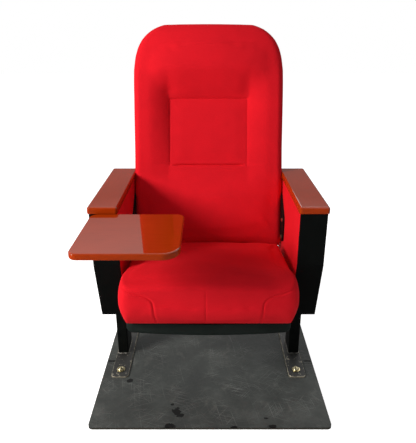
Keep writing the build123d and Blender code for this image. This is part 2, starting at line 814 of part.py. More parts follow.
# The seat cushion: cuts across it from the nose to the rear, each with a flat foot, bulging sides
# and a crowned top. Columns: y, foot half width, foot z, widest half width, its z, shoulder half
# width, shoulder z, crown z.
seat_cuts = (
    (-362, 198, 408, 209, 430, 200, 447, 453),
    (-356, 216, 374, 229, 424, 218, 453, 461),
    (-343, 228, 346, 240, 414, 230, 458, 467),
    (-325, 232, 324, 245, 408, 236, 459, 470),
    (-300, 234, pan_top, 246.5, 403, 238, 459, 472),
    (-262, 234, pan_top, 246, 398, 238, 457, 470),
    (-218, 233, pan_top, 243, 391, 235, 453, 466),
    (-90, 233, pan_top, 240, 380, 234, 438, 449),
    (0, 231, pan_top, 239, 372, 232, 422, 431),
    (17, 224, 322, 233, 370, 226, 412, 421),
    (24, 214, 336, 222, 368, 214, 396, 404),
)


def seat_cut(foot_half, foot_z, wide_half, wide_z, top_half, top_z, crown_z):
    """One cut across the seat cushion, drawn on X and Z."""
    with BuildSketch() as cut:
        with BuildLine():
            Line((-foot_half, foot_z), (foot_half, foot_z))
            ThreePointArc((foot_half, foot_z), (wide_half, wide_z), (top_half, top_z))
            ThreePointArc((top_half, top_z), (0, crown_z), (-top_half, top_z))
            ThreePointArc((-top_half, top_z), (-wide_half, wide_z), (-foot_half, foot_z))
        make_face()
    return cut.sketch


with BuildPart() as seat_cushion:
    for cut_y, *cut in seat_cuts:
        with BuildSketch(Plane.XZ.offset(-cut_y)):
            add(seat_cut(*cut))
    loft()
    split(bisect_by=Plane.XY.offset(pan_top), keep=Keep.TOP)
finish(seat_cushion, "seat_cushion")

# ================================================================ back
lean_sin = math.sin(math.radians(back_lean))
lean_cos = math.cos(math.radians(back_lean))


def on_back(along, depth):
    """A point of the side view, by its place along the lean and its depth behind the front plane."""
    y = back_foot_y + along * lean_sin + depth * lean_cos
    z = back_foot_z + along * lean_cos - depth * lean_sin
    return (y, z)


def back_plane(depth):
    """A plane along the back: x across the seat, y up the lean, facing the sitter."""
    y, z = on_back(0, depth)
    return Plane(origin=(0, y, z), x_dir=(1, 0, 0), z_dir=(0, -lean_cos, lean_sin))


def back_cut_plane(along):
    """A plane across the back: x across the seat, y to the rear."""
    y, z = on_back(along, 0)
    return Plane(origin=(0, y, z), x_dir=(1, 0, 0), z_dir=(0, lean_sin, lean_cos))


# Cuts across the back cushion from its foot to its top. Columns: place along the lean, rear half
# width, widest half width, its depth, front half width, its depth, depth of the crown.
back_cuts = (
    (-8, 214, 222, 42, 212, 34, 30),
    (2, 227, 237, 35, 227, 18, 11),
    (40, 235, 243.5, 30, 232, 8, -4),
    (150, 236, back_half_width, 30, 232, 6, -8),
    (260, 236, back_half_width, 30, 230, 4, -7),
    (380, 236, back_half_width, 30, 229, 2, -9),
    (490, 236, back_half_width, 30, 228, 0, -13),
    (560, 235, 243, 30, 224, 0, -16),
    (630, 226, 235, 31, 212, 4, -14),
    (680, 205, 214, 32, 190, 8, -8),
    (712, 172, 181, 33, 162, 16, 4),
    (back_height, 140, 147, 38, 136, 26, 20),
)


def back_cut(rear_half, wide_half, wide_depth, front_half, front_depth, crown_depth):
    """One cut across the back cushion: flat rear, bulging sides, crowned front."""
    rear = back_cushion_depth
    with BuildSketch() as cut:
        with BuildLine():
            Line((-rear_half, rear), (rear_half, rear))
            ThreePointArc((rear_half, rear), (wide_half, wide_depth), (front_half, front_depth))
            ThreePointArc((front_half, front_depth), (0, crown_depth), (-front_half, front_depth))
            ThreePointArc((-front_half, front_depth), (-wide_half, wide_depth), (-rear_half, rear))
        make_face()
    return cut.sketch


with BuildPart() as back_cushion:
    for along, *cut in back_cuts:
        with BuildSketch(back_cut_plane(along)):
            add(back_cut(*cut))
    loft()
    # the pressed-in panel between the head roll, the side rolls and the crease
    with BuildSketch(back_plane(-recess_rim)):
        with Locations((0, (recess_rim_foot + recess_rim_top) / 2)):
            RectangleRounded(
                2 * recess_rim_half_width, recess_rim_top - recess_rim_foot, recess_rim_corner
            )
    with BuildSketch(back_plane(recess_floor)):
        with Locations((0, (recess_foot + recess_top) / 2)):
            RectangleRounded(2 * recess_half_width, recess_top - recess_foot, recess_corner)
    loft(mode=Mode.SUBTRACT)
    with BuildSketch(back_plane(recess_floor + crease_depth)):
        with Locations((0, recess_foot)):
            SlotOverall(2 * (recess_half_width - crease_inset), crease_width)
    extrude(amount=40, mode=Mode.SUBTRACT)
finish(back_cushion, "back_cushion")


def shell_plan(inset):
    """The back shell seen square on, drawn in by a wall: upright sides, large round top corners."""
    half = shell_half_width - inset
    foot = shell_inset + inset
    top = back_height - shell_inset - inset
    shoulder = top - shell_shoulder
    turn = half - shell_shoulder_turn
    top_half = half - shell_top_inset
    with BuildSketch() as plan:
        with BuildLine():
            Line((-half, foot), (half, foot))
            Line((half, foot), (half, shoulder))
            ThreePointArc((half, shoulder), (turn, top - shell_shoulder_drop), (top_half, top))
            Line((top_half, top), (-top_half, top))
            ThreePointArc((-top_half, top), (-turn, top - shell_shoulder_drop), (-half, shoulder))
            Line((-half, shoulder), (-half, foot))
        make_face()
        fillet(plan.vertices().group_by(Axis.Y)[0], shell_foot_corner - inset)
    return plan.sketch


back_bolt_depth = back_cushion_depth + back_tube / 2
back_bolt_points = [on_back(along, back_bolt_depth) for along in (back_bolt_low, back_bolt_high)]
leg_bolt_points = [(leg_bolt_y, leg_bolt_low_z), (leg_bolt_y, leg_bolt_high_z)]
shell_screw_places = [(side * shell_screw_x, y) for _, side in SIDES for y in shell_screw_places_along]
to_rear = Axis((0, 0, 0), (0, lean_cos, -lean_sin))

with BuildPart() as shell_hollow:
    with BuildSketch(back_plane(back_cushion_depth)):
        add(shell_plan(shell_wall))
    extrude(amount=-(shell_depth - shell_wall))
    fillet(shell_hollow.faces().sort_by(to_rear)[-1].edges(), shell_edge - shell_wall)

with BuildPart() as back_shell:
    with BuildSketch(back_plane(back_cushion_depth)):
        add(shell_plan(0))
    extrude(amount=-shell_depth)
    fillet(back_shell.faces().sort_by(to_rear)[-1].edges(), shell_edge)
    add(shell_hollow.part, mode=Mode.SUBTRACT)
    for _, side in SIDES:
        with BuildSketch(Plane.YZ.offset(side * (shell_half_width - shell_wall))):
            with Locations(*back_bolt_points):
                Circle(back_bolt_radius + screw_fit)
        extrude(amount=side * shell_wall, mode=Mode.SUBTRACT)
    with BuildSketch(back_plane(back_cushion_depth + shell_depth)):
        with Locations(*shell_screw_places):
            Circle(cover_screw_radius + screw_fit)
    extrude(amount=shell_wall, mode=Mode.SUBTRACT)
finish(back_shell, "back_shell")

back_frame_half = shell_half_width - shell_wall
back_frame_height = back_frame_top - back_frame_foot
with BuildPart() as back_frame:
    with BuildSketch(back_plane(back_cushion_depth)):
        with Locations((0, (back_frame_foot + back_frame_top) / 2)):
            Rectangle(2 * back_frame_half, back_frame_height)
            Rectangle(
                2 * (back_frame_half - back_tube), back_frame_height - 2 * back_tube, mode=Mode.SUBTRACT
            )
        with Locations((0, back_frame_bar)):
            Rectangle(2 * back_frame_half - back_tube, back_tube)
    extrude(amount=-back_tube)
    for _, side in SIDES:
        with BuildSketch(Plane.YZ.offset(side * (back_frame_half - back_tube))):
            with Locations(*back_bolt_points):
                Circle(back_bolt_radius + screw_fit)
        extrude(amount=side * back_tube, mode=Mode.SUBTRACT)
finish(back_frame, "back_frame")

# A plate each side in the gap between the back and the box, bolted through spacers to the leg and
# through the shell's side to the frame.
for name, side in SIDES:
    plate_inner = box_inner - back_plate_thickness
    with BuildPart() as back_bracket:
        bolt_points = leg_bolt_points + back_bolt_points
        with BuildSketch(Plane.YZ.offset(side * plate_inner)):
            with Locations(*bolt_points, on_back(back_ear_along, back_bolt_depth)):
                Circle(back_plate_radius)
            make_hull()
            with Locations(*bolt_points):
                Circle(back_bolt_radius + screw_fit, mode=Mode.SUBTRACT)
        extrude(amount=side * back_plate_thickness)
        with BuildSketch(Plane.YZ.offset(side * shell_half_width)):
            with Locations(*back_bolt_points):
                Circle(back_boss_radius)
                Circle(back_bolt_radius + screw_fit, mode=Mode.SUBTRACT)
        extrude(amount=side * (plate_inner - shell_half_width))
    finish(back_bracket, f"back_bracket_{name}")

with BuildPart() as back_bolts:
    for _, side in SIDES:
        with BuildSketch(Plane.YZ.offset(side * (box_inner - back_plate_thickness))):
            with Locations(*leg_bolt_points):
                Circle(back_bolt_head_radius)
        extrude(amount=-side * back_bolt_head_height)
        with BuildSketch(Plane.YZ.offset(side * (box_inner - back_plate_thickness))):
            with Locations(*leg_bolt_points):
                Circle(back_bolt_radius)
        extrude(amount=side * (leg_inner_face + leg_wall + 4 - box_inner + back_plate_thickness))
        with BuildSketch(Plane.YZ.offset(side * box_inner)):
            with Locations(*back_bolt_points):
                Circle(back_bolt_radius)
        extrude(amount=-side * (box_inner - back_frame_half + back_tube))
finish(back_bolts, "back_bolts")

with BuildPart() as back_spacers:
    for _, side in SIDES:
        with BuildSketch(Plane.YZ.offset(side * (box_inner + panel_thickness))):
            with Locations(*leg_bolt_points):
                Circle(spacer_radius)
                Circle(back_bolt_radius + screw_fit, mode=Mode.SUBTRACT)
        extrude(amount=side * (leg_inner_face - box_inner - panel_thickness))
finish(back_spacers, "back_spacers")

with BuildPart() as shell_screws:
    with BuildSketch(back_plane(back_cushion_depth + shell_depth)):
        with Locations(*shell_screw_places):
            Circle(cover_screw_head_radius)
    extrude(amount=-cover_screw_head_height)
    with BuildSketch(back_plane(back_cushion_depth + shell_depth)):
        with Locations(*shell_screw_places):
            Circle(cover_screw_radius)
    extrude(amount=shell_wall + shell_screw_reach)
finish(shell_screws, "shell_screws")

# ================================================================ tablet
with BuildPart() as tablet_top:
    with BuildSketch(Plane.XY.offset(tablet_bottom_z)):
        with BuildLine():
            FilletPolyline(
                (tablet_outer, tablet_front),
                (tablet_inner, tablet_front),
                (tablet_inner, tablet_rear),
                (tablet_outer, tablet_rear),
                radius=(tablet_corner, tablet_front_corner, tablet_corner, tablet_corner),
                close=True,
            )
        make_face()
    extrude(amount=tablet_thickness)
    fillet(tablet_top.faces().sort_by(Axis.Z)[-1].edges(), tablet_edge)
    fillet(tablet_top.faces().sort_by(Axis.Z)[0].edges(), tablet_edge)
    tablet_screw_places = [
        (x, y)
        for x in (tablet_screw_outer, tablet_plate_inner - tablet_screw_inset)
        for y in (tablet_plate_front + tablet_screw_inset, tablet_plate_rear - tablet_screw_inset)
    ]
    with BuildSketch(Plane.XY.offset(tablet_bottom_z)):
        with Locations(*tablet_screw_places):
            Circle(tablet_screw_radius)
    extrude(amount=tablet_screw_depth, mode=Mode.SUBTRACT)
finish(tablet_top, "tablet_top")

# The tablet swings on one slanting spindle. Along the spindle is up and outwards, across it is up
# and inwards, and both are measured from the middle of its housing.
slant = math.sqrt(0.5)
housing_top = housing_length / 2
strut_low = housing_top + strut_start
strut_high = strut_low + strut_thickness


def swing_plane(along):
    """A plane square to the spindle, facing up and outwards."""
    return Plane(
        origin=(swing_x - along * slant, swing_y, swing_z + along * slant), x_dir=(0, 1, 0), z_dir=(-1, 0, 1)
    )


def swing_point(along, across):
    """A point of the front view, by its place along and across the spindle."""
    return (swing_x + (across - along) * slant, swing_z + (across + along) * slant)


with BuildPart() as tablet_housing:
    with BuildSketch(swing_plane(-housing_top)):
        Circle(housing_radius)
    extrude(amount=housing_length)
    with BuildSketch(Plane.XZ.offset(-box_front)):
        Polygon(
            swing_point(-housing_plate_length / 2, -housing_plate_width / 2),
            swing_point(housing_plate_length / 2, -housing_plate_width / 2),
            swing_point(housing_plate_length / 2, housing_plate_width / 2),
            swing_point(-housing_plate_length / 2, housing_plate_width / 2),
            align=None,
        )
    extrude(amount=housing_plate_thickness)
    with BuildSketch(swing_plane(-housing_top)):
        Circle(spindle_radius + pin_fit)
    extrude(amount=housing_length, mode=Mode.SUBTRACT)
    housing_bolt_places = [swing_point(0, end * housing_bolt_spacing / 2) for end in (-1, 1)]
    with BuildSketch(Plane.XZ.offset(-box_front)):
        with Locations(*housing_bolt_places):
            Circle(housing_bolt_radius + screw_fit)
    extrude(amount=housing_plate_thickness, mode=Mode.SUBTRACT)
finish(tablet_housing, "tablet_housing")

housing_plate_face = Plane.XZ.offset(-box_front + housing_plate_thickness)
with BuildPart() as housing_bolts:
    with BuildSketch(housing_plate_face):
        with Locations(*housing_bolt_places):
            Circle(housing_bolt_head_radius)
    extrude(amount=housing_bolt_head_height)
    with BuildSketch(housing_plate_face):
        with Locations(*housing_bolt_places):
            Circle(housing_bolt_radius)
    extrude(amount=-(housing_plate_thickness + cover_thickness + housing_bolt_reach))
finish(housing_bolts, "housing_bolts")

spindle_low = -housing_top - friction_washer - tablet_nut_height - spindle_tip
with BuildPart() as tablet_spindle:
    with BuildSketch(swing_plane(spindle_low)):
        Circle(spindle_radius)
    extrude(amount=strut_high - spindle_low)
finish(tablet_spindle, "tablet_spindle")

with BuildPart() as tablet_washers:
    for foot in (-housing_top - friction_washer, housing_top):
        with BuildSketch(swing_plane(foot)):
            Circle(tablet_washer_radius)
            Circle(spindle_radius + screw_fit, mode=Mode.SUBTRACT)
        extrude(amount=friction_washer)
finish(tablet_washers, "tablet_washers")

with BuildPart() as tablet_nut:
    with BuildSketch(swing_plane(-housing_top - friction_washer)):
        RegularPolygon(tablet_nut_across / 2, 6, major_radius=False)
        Circle(spindle_radius + screw_fit, mode=Mode.SUBTRACT)
    extrude(amount=-tablet_nut_height)
finish(tablet_nut, "tablet_nut")

# The arm: an eye round the spindle, a slanting strut and a plate under the tablet.
plate_reach = (tablet_plate_bottom + tablet_plate_thickness / 2 - swing_z) / slant
tablet_plate_width = tablet_plate_inner - tablet_plate_outer
tablet_plate_depth = tablet_plate_rear - tablet_plate_front
tablet_plate_middle = (
    (tablet_plate_outer + tablet_plate_inner) / 2,
    (tablet_plate_front + tablet_plate_rear) / 2,
)
with BuildPart() as tablet_arm:
    with BuildSketch(Plane.XZ.offset(-swing_y + strut_width / 2)):
        Polygon(
            swing_point(strut_low, 0),
            swing_point(strut_low, plate_reach - strut_low),
            swing_point(strut_high, plate_reach - strut_high),
            swing_point(strut_high, 0),
            align=None,
        )
    extrude(amount=-strut_width)
    with BuildSketch(swing_plane(strut_low)):
        Circle(strut_width / 2 + strut_eye)
    extrude(amount=strut_thickness)
    with BuildSketch(Plane.XY.offset(tablet_plate_bottom)):
        with Locations(tablet_plate_middle):
            RectangleRounded(tablet_plate_width, tablet_plate_depth, tablet_plate_corner)
        with Locations(*tablet_screw_places):
            Circle(tablet_screw_radius + screw_fit, mode=Mode.SUBTRACT)
    extrude(amount=tablet_plate_thickness)
    with BuildSketch(swing_plane(strut_low)):
        Circle(spindle_radius)
    extrude(amount=strut_thickness, mode=Mode.SUBTRACT)
finish(tablet_arm, "tablet_arm")

with BuildPart() as tablet_screws:
    with BuildSketch(Plane.XY.offset(tablet_plate_bottom - tablet_screw_head_height)):
        with Locations(*tablet_screw_places):
            Circle(2 * tablet_screw_radius)
    extrude(amount=tablet_screw_head_height)
    with BuildSketch(Plane.XY.offset(tablet_plate_bottom)):
        with Locations(*tablet_screw_places):
            Circle(tablet_screw_radius)
    extrude(amount=tablet_plate_thickness + tablet_screw_depth)
finish(tablet_screws, "tablet_screws")
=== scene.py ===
import json
import math

import bmesh
import bpy
import numpy as np
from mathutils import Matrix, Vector, noise
from mathutils.bvhtree import BVHTree


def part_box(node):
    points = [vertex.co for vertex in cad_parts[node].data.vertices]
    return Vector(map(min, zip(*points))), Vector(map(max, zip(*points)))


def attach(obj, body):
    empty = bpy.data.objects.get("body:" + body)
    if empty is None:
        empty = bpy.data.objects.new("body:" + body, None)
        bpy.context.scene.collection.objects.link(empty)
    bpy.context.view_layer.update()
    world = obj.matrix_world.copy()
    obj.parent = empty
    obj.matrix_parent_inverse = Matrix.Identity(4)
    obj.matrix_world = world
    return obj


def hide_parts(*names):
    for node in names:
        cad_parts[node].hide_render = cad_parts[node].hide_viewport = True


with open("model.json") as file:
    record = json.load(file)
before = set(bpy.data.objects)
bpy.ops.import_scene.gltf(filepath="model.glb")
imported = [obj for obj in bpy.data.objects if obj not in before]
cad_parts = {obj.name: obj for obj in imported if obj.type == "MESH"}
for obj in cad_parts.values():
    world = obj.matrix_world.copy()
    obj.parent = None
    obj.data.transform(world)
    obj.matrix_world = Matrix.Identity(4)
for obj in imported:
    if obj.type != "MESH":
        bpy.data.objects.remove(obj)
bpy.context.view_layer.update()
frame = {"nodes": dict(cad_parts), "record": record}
NODES = frame["nodes"]
MM = 0.001

# ------------------------------------------------------------------ sizes, in metres
# The photograph was taken from in front of the seat, a little above the back's top.
EYE_PLACE = (0.0, -1.500, 1.090)
EYE_PITCH = 21.34  # degrees below level
FOCAL_PIXELS = 490.0
IMAGE_LONG_SIDE = 443.0
SENSOR_WIDTH = 36.0
AMBIENT = 0.24  # light from all round
# Name, place, what it faces, width, watts and colour of each square lamp. The key stands low on the
# left, as the shadows in the photograph show.
LAMPS = (
    ("key", (-2.72, -1.45, 1.95), (0.0, -0.05, 0.6), 1.0, 120, "FFFBF6"),
    ("fill", (1.6, -2.2, 2.7), (0.0, 0.0, 0.6), 1.8, 9, "F5F9FF"),
    ("rear", (0.6, 2.4, 2.4), (0.0, 0.1, 0.7), 1.6, 14, "FFFFFF"),
)
FLOOR_REACH = 12.0
FLOOR_DROP = 0.5 * MM  # just under the plate, so that the two don't flicker
FLOOR_GLOW = 0.86  # the floor's own light to the eye, over what falls on it
FLOOR_MIRRORED = 0.12  # how bright the floor is in reflections

SEAT_PIVOT = np.array([-0.065, 0.350])  # the pins that the seat tips about, along and up
PAD_SHRINK = 1.5 * MM  # the pads start this much inside their final skin
PAD_PRESSURE = 4.0
PAD_FRAMES = 20
SEAT_CAP = 6 * MM  # furthest that a point of the seat pad may swell
BACK_CAP = 5 * MM
SKIN_GAP = 0.4 * MM  # the finished pads' skin lies this much inside the CAD solid's


# ------------------------------------------------------------------ small tools
def paint(text):
    """An sRGB hex colour as Blender's linear colour."""
    parts = [int(text[i : i + 2], 16) / 255 for i in (0, 2, 4)]
    return (*[c / 12.92 if c <= 0.04045 else ((c + 0.055) / 1.055) ** 2.4 for c in parts], 1.0)


def add_node(tree, kind, values=None, **settings):
    """Adds a node to a tree. Values go to its inputs: a socket is linked, anything else is set."""
    node = tree.nodes.new(kind)
    for name, value in settings.items():
        setattr(node, name, value)
    for name, value in (values or {}).items():
        if isinstance(value, bpy.types.NodeSocket):
            tree.links.new(value, node.inputs[name])
        else:
            node.inputs[name].default_value = value
    return node


def new_material(name, **surface):
    """A material with a Principled surface. Surface gives its constant sockets, with _ for a space."""
    material = bpy.data.materials.new(name)
    material.use_nodes = True
    tree = material.node_tree
    shader = tree.nodes["Principled BSDF"]
    for socket, value in surface.items():
        shader.inputs[socket.replace("_", " ")].default_value = value
    place = add_node(tree, "ShaderNodeTexCoord").outputs["Object"]
    return material, tree, shader, place


def ramp(tree, factor, *stops):
    """A colour ramp over a factor. Each stop is a position and a colour."""
    node = add_node(tree, "ShaderNodeValToRGB", {"Fac": factor})
    elements = node.color_ramp.elements
    while len(elements) < len(stops):
        elements.new(0.5)
    for element, (position, colour) in zip(elements, stops):
        element.position = position
        element.color = colour
    return node.outputs["Color"]


def grey(value):
    """A linear grey, for a colour that is used as a number."""
    return (value, value, value, 1.0)


def add_bump(tree, shader, height, distance, strength):
    """A height, whose 1 stands for the distance in metres, as a bump on the shader."""
    bump = add_node(tree, "ShaderNodeBump", {"Height": height, "Distance": distance, "Strength": strength})
    tree.links.new(bump.outputs["Normal"], shader.inputs["Normal"])


def noise_at(tree, place, size, detail=2.0, roughness=0.5, stretch=(1, 1, 1), distortion=0.0):
    """Noise whose features are about this size, in metres, longer along an axis with a small stretch."""
    mapping = add_node(tree, "ShaderNodeMapping", {"Vector": place, "Scale": stretch})
    node = add_node(
        tree,
        "ShaderNodeTexNoise",
        {
            "Vector": mapping.outputs["Vector"],
            "Scale": 1 / size,
            "Detail": detail,
            "Roughness": roughness,
            "Distortion": distortion,
        },
    )
    return node.outputs["Fac"]


def mix_colour(tree, factor, first, second, blend="MIX"):
    """The second colour over the first. Either is a socket or a constant."""
    node = add_node(tree, "ShaderNodeMix", {"Factor": factor}, data_type="RGBA", blend_type=blend)
    for socket, value in ((node.inputs[6], first), (node.inputs[7], second)):
        if isinstance(value, bpy.types.NodeSocket):
            tree.links.new(value, socket)
        else:
            socket.default_value = value
    return node.outputs[2]


def calculate(tree, operation, first, second=0.0, third=0.0):
    """One sum, in a material or in geometry nodes."""
    node = add_node(tree, "ShaderNodeMath", {0: first, 1: second, 2: third}, operation=operation)
    return node.outputs[0]


# ------------------------------------------------------------------ materials
# The real threads lie about 0.6 mm apart; they are drawn coarser, so that the weave shows.
THREAD_PITCH = 1.6 * MM


def red_upholstery():
    """Plain-woven polyester cloth, piece dyed: an even red with a dry, slightly fuzzy face."""
    material, tree, shader, place = new_material(
        "woven_polyester_red", Roughness=0.9, Sheen_Weight=0.10, Sheen_Roughness=0.5, Specular_IOR_Level=0.12
    )
    shader.inputs["Sheen Tint"].default_value = paint("FF3A38")
    facing = add_node(
        tree, "ShaderNodeSeparateXYZ", {0: add_node(tree, "ShaderNodeNewGeometry").outputs["Normal"]}
    )
    weave = 0.0
    for axis in range(3):
        scale = [0.0, 0.0, 0.0]
        scale[axis] = 1 / THREAD_PITCH
        mapping = add_node(tree, "ShaderNodeMapping", {"Vector": place, "Scale": scale})
        spot = add_node(tree, "ShaderNodeSeparateXYZ", {0: mapping.outputs["Vector"]})
        wave = calculate(tree, "SINE", calculate(tree, "MULTIPLY", spot.outputs[axis], 2 * math.pi))
        across = calculate(tree, "SUBTRACT", 1.0, calculate(tree, "ABSOLUTE", facing.outputs[axis]))
        weave = calculate(tree, "MULTIPLY_ADD", wave, across, weave)
    fuzz = noise_at(tree, place, 1.1 * MM, detail=3.0, roughness=0.7)
    cloud = noise_at(tree, place, 60 * MM, detail=3.0)
    height = calculate(tree, "MULTIPLY_ADD", weave, 0.12, fuzz)
    add_bump(tree, shader, height, 0.35 * MM, 0.55)
    thread = ramp(tree, fuzz, (0.25, paint("D2101E")), (0.75, paint("E81927")))
    wear = ramp(tree, cloud, (0.3, grey(0.93)), (0.7, grey(1.0)))
    colour = mix_colour(tree, 1.0, thread, wear, "MULTIPLY")
    tree.links.new(colour, shader.inputs["Base Color"])
    return material


def lacquered_wood(name, along):
    """Stained hardwood under a thick sprayed lacquer: even red brown, mirror-smooth and level."""
    material, tree, shader, place = new_material(
        name, Roughness=0.42, Coat_Weight=1.0, Coat_Roughness=0.03, Coat_IOR=1.5, Specular_IOR_Level=0.0
    )
    stretch = [7.0, 7.0, 7.0]
    stretch[along] = 0.5
    grain = noise_at(tree, place, 60 * MM, detail=6.0, roughness=0.6, stretch=stretch, distortion=0.3)
    cloud = noise_at(tree, place, 90 * MM, detail=2.0)
    wood = ramp(tree, grain, (0.25, paint("A23204")), (0.5, paint("AB3706")), (0.8, paint("A53505")))
    shade = ramp(tree, cloud, (0.3, grey(0.9)), (0.7, grey(1.0)))
    tree.links.new(mix_colour(tree, 1.0, wood, shade, "MULTIPLY"), shader.inputs["Base Color"])
    ripple = noise_at(tree, place, 35 * MM, detail=1.0)
    add_bump(tree, shader, ripple, 0.02 * MM, 0.15)
    return material


def moulded_plastic(name, colour, roughness, grain, shine=0.35):
    """Injection-moulded plastic or rubber: even colour, with a fine grain from the mould."""
    material, tree, shader, place = new_material(name, IOR=1.5, Specular_IOR_Level=shine)
    pits = noise_at(tree, place, grain, detail=2.0, roughness=0.6)
    smears = noise_at(tree, place, 70 * MM, detail=3.0)
    tone = ramp(tree, smears, (0.3, paint(colour[0])), (0.7, paint(colour[1])))
    tree.links.new(tone, shader.inputs["Base Color"])
    dull = add_node(
        tree, "ShaderNodeMapRange", {"Value": smears, "To Min": roughness - 0.05, "To Max": roughness + 0.06}
    )
    tree.links.new(dull.outputs["Result"], shader.inputs["Roughness"])
    add_bump(tree, shader, pits, 0.05 * MM, 0.4)
    return material


def powder_coat():
    """Black polyester powder coat on steel tube: satin, with a faint orange peel."""
    material, tree, shader, place = new_material("powder_coated_steel", IOR=1.5, Specular_IOR_Level=0.14)
    peel = noise_at(tree, place, 2.2 * MM, detail=1.5)
    dust = noise_at(tree, place, 30 * MM, detail=4.0)
    tone = ramp(tree, dust, (0.3, paint("080A09")), (0.75, paint("101311")))
    tree.links.new(tone, shader.inputs["Base Color"])
    shine = add_node(tree, "ShaderNodeMapRange", {"Value": dust, "To Min": 0.33, "To Max": 0.5})
    tree.links.new(shine.outputs["Result"], shader.inputs["Roughness"])
    add_bump(tree, shader, peel, 0.08 * MM, 0.35)
    return material


def metal(name, light, dark, roughness, bump_size):
    """Plated or bare metal hardware, rubbed here and there."""
    material, tree, shader, place = new_material(name, Metallic=1.0)
    rub = noise_at(tree, place, 4 * MM, detail=4.0, roughness=0.6)
    tone = ramp(tree, rub, (0.3, paint(dark)), (0.62, paint(light)))
    tree.links.new(tone, shader.inputs["Base Color"])
    shine = add_node(
        tree, "ShaderNodeMapRange", {"Value": rub, "To Min": roughness + 0.12, "To Max": roughness - 0.06}
    )
    tree.links.new(shine.outputs["Result"], shader.inputs["Roughness"])
    add_bump(tree, shader, noise_at(tree, place, bump_size, detail=2.0), 0.03 * MM, 0.4)
    return material


def scratches(tree, place, angle, width, length, seed, rarity):
    """Fine long scratches at an angle: drawn-out noise, kept only where it peaks."""
    mapping = add_node(
        tree,
        "ShaderNodeMapping",
        {"Vector": place, "Rotation": (0, 0, math.radians(angle)), "Location": (seed, seed / 2, 0)},
    )
    line = noise_at(tree, mapping.outputs["Vector"], width, detail=0.0, stretch=(width / length, 1, 0.02))
    return ramp(tree, line, (rarity, grey(0.0)), (rarity + 0.05, grey(1.0)))


def blot(tree, place, middle, radius, ragged):
    """1 inside a ragged spot on the mat, 0 outside. Middle is its place across and along, and its squash."""
    across, along, squash = middle
    apart = add_node(
        tree, "ShaderNodeVectorMath", {0: place, 1: (across * MM, along * MM, 0)}, operation="SUBTRACT"
    )
    flat = add_node(
        tree, "ShaderNodeVectorMath", {0: apart.outputs[0], 1: (1, squash, 0)}, operation="MULTIPLY"
    )
    gap = add_node(tree, "ShaderNodeVectorMath", {0: flat.outputs[0]}, operation="LENGTH").outputs["Value"]
    edge = calculate(tree, "MULTIPLY_ADD", ragged, radius * 2.2 * MM, gap)
    return ramp(tree, calculate(tree, "DIVIDE", edge, radius * 4 * MM), (0.48, grey(1.0)), (0.52, grey(0.0)))


# Worn-through spots: place across, place along, squash along, radius. In millimetres.
WORN_SPOTS = (
    (-97, -322, 0.9, 15),
    (-84, -338, 1.5, 13),
    (-116, -381, 2.0, 19),
    (172, -350, 1.8, 8),
    (186, -382, 2.2, 13),
    (74, -384, 2.4, 11),
    (-262, -180, 1.2, 12),
    (-112, -292, 1.0, 6),
    (-343, -78, 4.5, 26),
    (350, -77, 4.0, 22),
)
# Bundles of scratches: angle in degrees, width and length in millimetres, seed, rarity.
SCRATCHES = (
    (22, 1.6, 160, 3.1, 0.72),
    (-50, 1.3, 120, 7.7, 0.73),
    (78, 1.8, 190, 12.3, 0.73),
    (5, 1.2, 90, 21.9, 0.74),
    (-20, 1.5, 150, 31.4, 0.73),
    (48, 1.2, 80, 43.7, 0.735),
)
SCRATCH_BEND = 0.05  # metres by which the scratches stray from straight


def scuffed_mat():
    """Charcoal vinyl sheet, walked on: dull, with pale scuffs, fine scratches and worn black spots."""
    material, tree, shader, place = new_material("scuffed_vinyl_sheet", IOR=1.5, Specular_IOR_Level=0.3)
    cloud = noise_at(tree, place, 130 * MM, detail=6.0, roughness=0.62)
    mottle = noise_at(tree, place, 9 * MM, detail=5.0, roughness=0.7)
    base = ramp(tree, cloud, (0.32, paint("373938")), (0.5, paint("424543")), (0.72, paint("545755")))
    fleck = ramp(tree, mottle, (0.35, grey(0.9)), (0.7, grey(1.06)))
    base = mix_colour(tree, 1.0, base, fleck, "MULTIPLY")
    # the scratches bend a little, so the place is shifted slowly before they are drawn
    drift = add_node(tree, "ShaderNodeTexNoise", {"Vector": place, "Scale": 3.0, "Detail": 1.0})
    bend = add_node(
        tree,
        "ShaderNodeVectorMath",
        {0: drift.outputs["Color"], 1: (SCRATCH_BEND, SCRATCH_BEND, 0), 2: place},
        operation="MULTIPLY_ADD",
    ).outputs[0]
    marks = 0.0
    for angle, width, length, seed, rarity in SCRATCHES:
        line = scratches(tree, bend, angle, width * MM, length * MM, seed, rarity)
        marks = calculate(tree, "MAXIMUM", line, marks)
    patch = noise_at(tree, place, 80 * MM, detail=3.0)
    marks = calculate(tree, "MULTIPLY", marks, ramp(tree, patch, (0.42, grey(0.06)), (0.62, grey(0.65))))
    base = mix_colour(tree, marks, base, paint("80827F"))
    scuff = noise_at(tree, place, 45 * MM, detail=6.0, roughness=0.75, stretch=(1, 0.55, 1))
    rubbed = ramp(tree, scuff, (0.56, grey(0.0)), (0.74, grey(0.4)))
    base = mix_colour(tree, rubbed, base, paint("74746F"))
    ragged = noise_at(tree, place, 14 * MM, detail=4.0, roughness=0.7)
    worn = 0.0
    for *middle, radius in WORN_SPOTS:
        worn = calculate(tree, "MAXIMUM", blot(tree, place, middle, radius, ragged), worn)
    base = mix_colour(tree, worn, base, paint("070707"))
    tree.links.new(base, shader.inputs["Base Color"])
    dull = add_node(tree, "ShaderNodeMapRange", {"Value": cloud, "To Min": 0.55, "To Max": 0.75})
    tree.links.new(dull.outputs["Result"], shader.inputs["Roughness"])
    grain = noise_at(tree, place, 1.4 * MM, detail=2.0)
    height = calculate(tree, "MULTIPLY_ADD", marks, -0.6, calculate(tree, "MULTIPLY_ADD", worn, -2.0, grain))
    add_bump(tree, shader, height, 0.12 * MM, 0.5)
    return material


